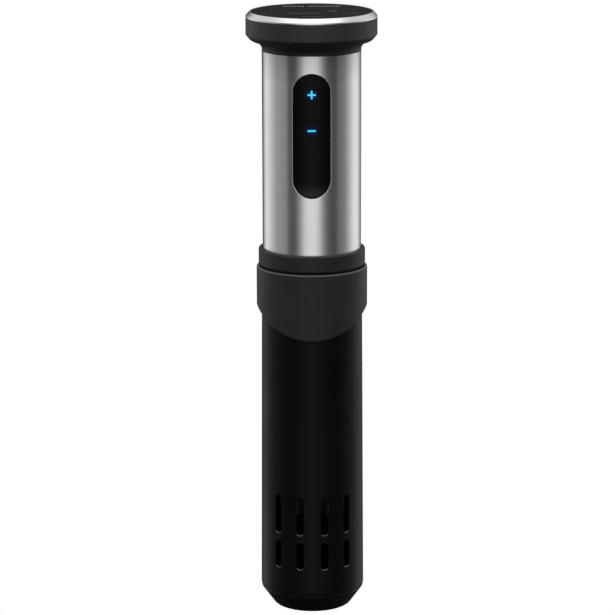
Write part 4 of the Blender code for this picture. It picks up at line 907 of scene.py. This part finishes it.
# brightness by direction in degrees round the object: 0 is where its front faces, + is toward +X
SURROUND = [(-180, 0.04), (-154, 0.05), (-148, 0.55), (-130, 1.10), (-112, 0.80), (-92, 0.44),
            (-68, 0.34), (-60, 0.31), (-56, 0.09), (-38, 0.08), (-28, 0.36), (-14, 1.00), (0, 1.12),
            (13, 1.00), (27, 0.34), (36, 0.12), (46, 0.07), (59, 0.06), (64, 0.17), (84, 0.28),
            (98, 0.60), (114, 1.05), (132, 1.12), (147, 0.50), (158, 0.20), (180, 0.04)]
OVERHEAD = (0.85, 0.85, 0.86, 1.0)


def make_world():
    """Surroundings that light the object by SURROUND, even overhead and dark from below, yet look white."""
    world = bpy.data.worlds.new("studio")
    bpy.context.scene.world = world
    world.use_nodes = True
    tree = world.node_tree
    nodes, links = tree.nodes, tree.links
    nodes.clear()

    def math_node(operation, *values):
        made = nodes.new("ShaderNodeMath")
        made.operation = operation
        for socket, value in zip(made.inputs, values):
            if isinstance(value, bpy.types.NodeSocket):
                links.new(value, socket)
            else:
                socket.default_value = value
        return made.outputs[0]

    split = nodes.new("ShaderNodeSeparateXYZ")
    links.new(nodes.new("ShaderNodeTexCoord").outputs["Generated"], split.inputs[0])
    x, y, z = split.outputs
    turn = math_node("ARCTAN2", x, math_node("MULTIPLY", y, -1.0))
    place = math_node("ADD", math_node("DIVIDE", turn, 2 * math.pi), 0.5)
    ramp = nodes.new("ShaderNodeValToRGB")
    stops = ramp.color_ramp.elements
    while len(stops) > 1:
        stops.remove(stops[-1])
    for index, (degrees, value) in enumerate(SURROUND):
        at = (degrees + 180) / 360
        stop = stops[0] if index == 0 else stops.new(at)
        stop.position = at
        stop.color = (value, value, value, 1.0)
    links.new(place, ramp.inputs[0])

    def rise(start, end, value_0, value_1):
        """Value that goes from one to another as the direction's height goes from start to end."""
        made = nodes.new("ShaderNodeMapRange")
        for key, value in (("From Min", start), ("From Max", end), ("To Min", value_0), ("To Max", value_1)):
            made.inputs[key].default_value = value
        links.new(z, made.inputs["Value"])
        return made.outputs[0]

    mix = nodes.new("ShaderNodeMix")
    mix.data_type = "RGBA"
    links.new(rise(0.20, 0.50, 0.0, 1.0), mix.inputs["Factor"])
    links.new(ramp.outputs[0], mix.inputs[6])
    mix.inputs[7].default_value = OVERHEAD
    lit = nodes.new("ShaderNodeBackground")
    links.new(mix.outputs[2], lit.inputs["Color"])
    links.new(rise(-0.68, -0.40, 0.03, 1.0), lit.inputs["Strength"])
    seen = nodes.new("ShaderNodeBackground")
    seen.inputs["Color"].default_value = (1.0, 1.0, 1.0, 1.0)
    path = nodes.new("ShaderNodeLightPath")
    choose = nodes.new("ShaderNodeMixShader")
    links.new(path.outputs["Is Camera Ray"], choose.inputs[0])
    links.new(lit.outputs[0], choose.inputs[1])
    links.new(seen.outputs[0], choose.inputs[2])
    links.new(choose.outputs[0], nodes.new("ShaderNodeOutputWorld").inputs[0])


def make_softbox():
    place, aim = Vector((0.0, -0.25, 2.2)), Vector((0.0, 0.0, 0.2))
    data = bpy.data.lights.new("softbox_top", "AREA")
    data.shape = "RECTANGLE"
    data.size, data.size_y = 2.4, 2.0
    data.energy = 12.0
    light = bpy.data.objects.new("softbox_top", data)
    bpy.context.scene.collection.objects.link(light)
    light.location = place
    light.rotation_euler = (aim - place).to_track_quat("-Z", "Y").to_euler()
    light.visible_camera = False


# ---------------------------------------------------------------- build
make_camera()
make_world()
make_softbox()
make_head()
make_grip()
make_collars()
make_skirt()
make_foot()
make_spring()
dress_kept_nodes()
bpy.context.scene.view_settings.view_transform = "Standard"
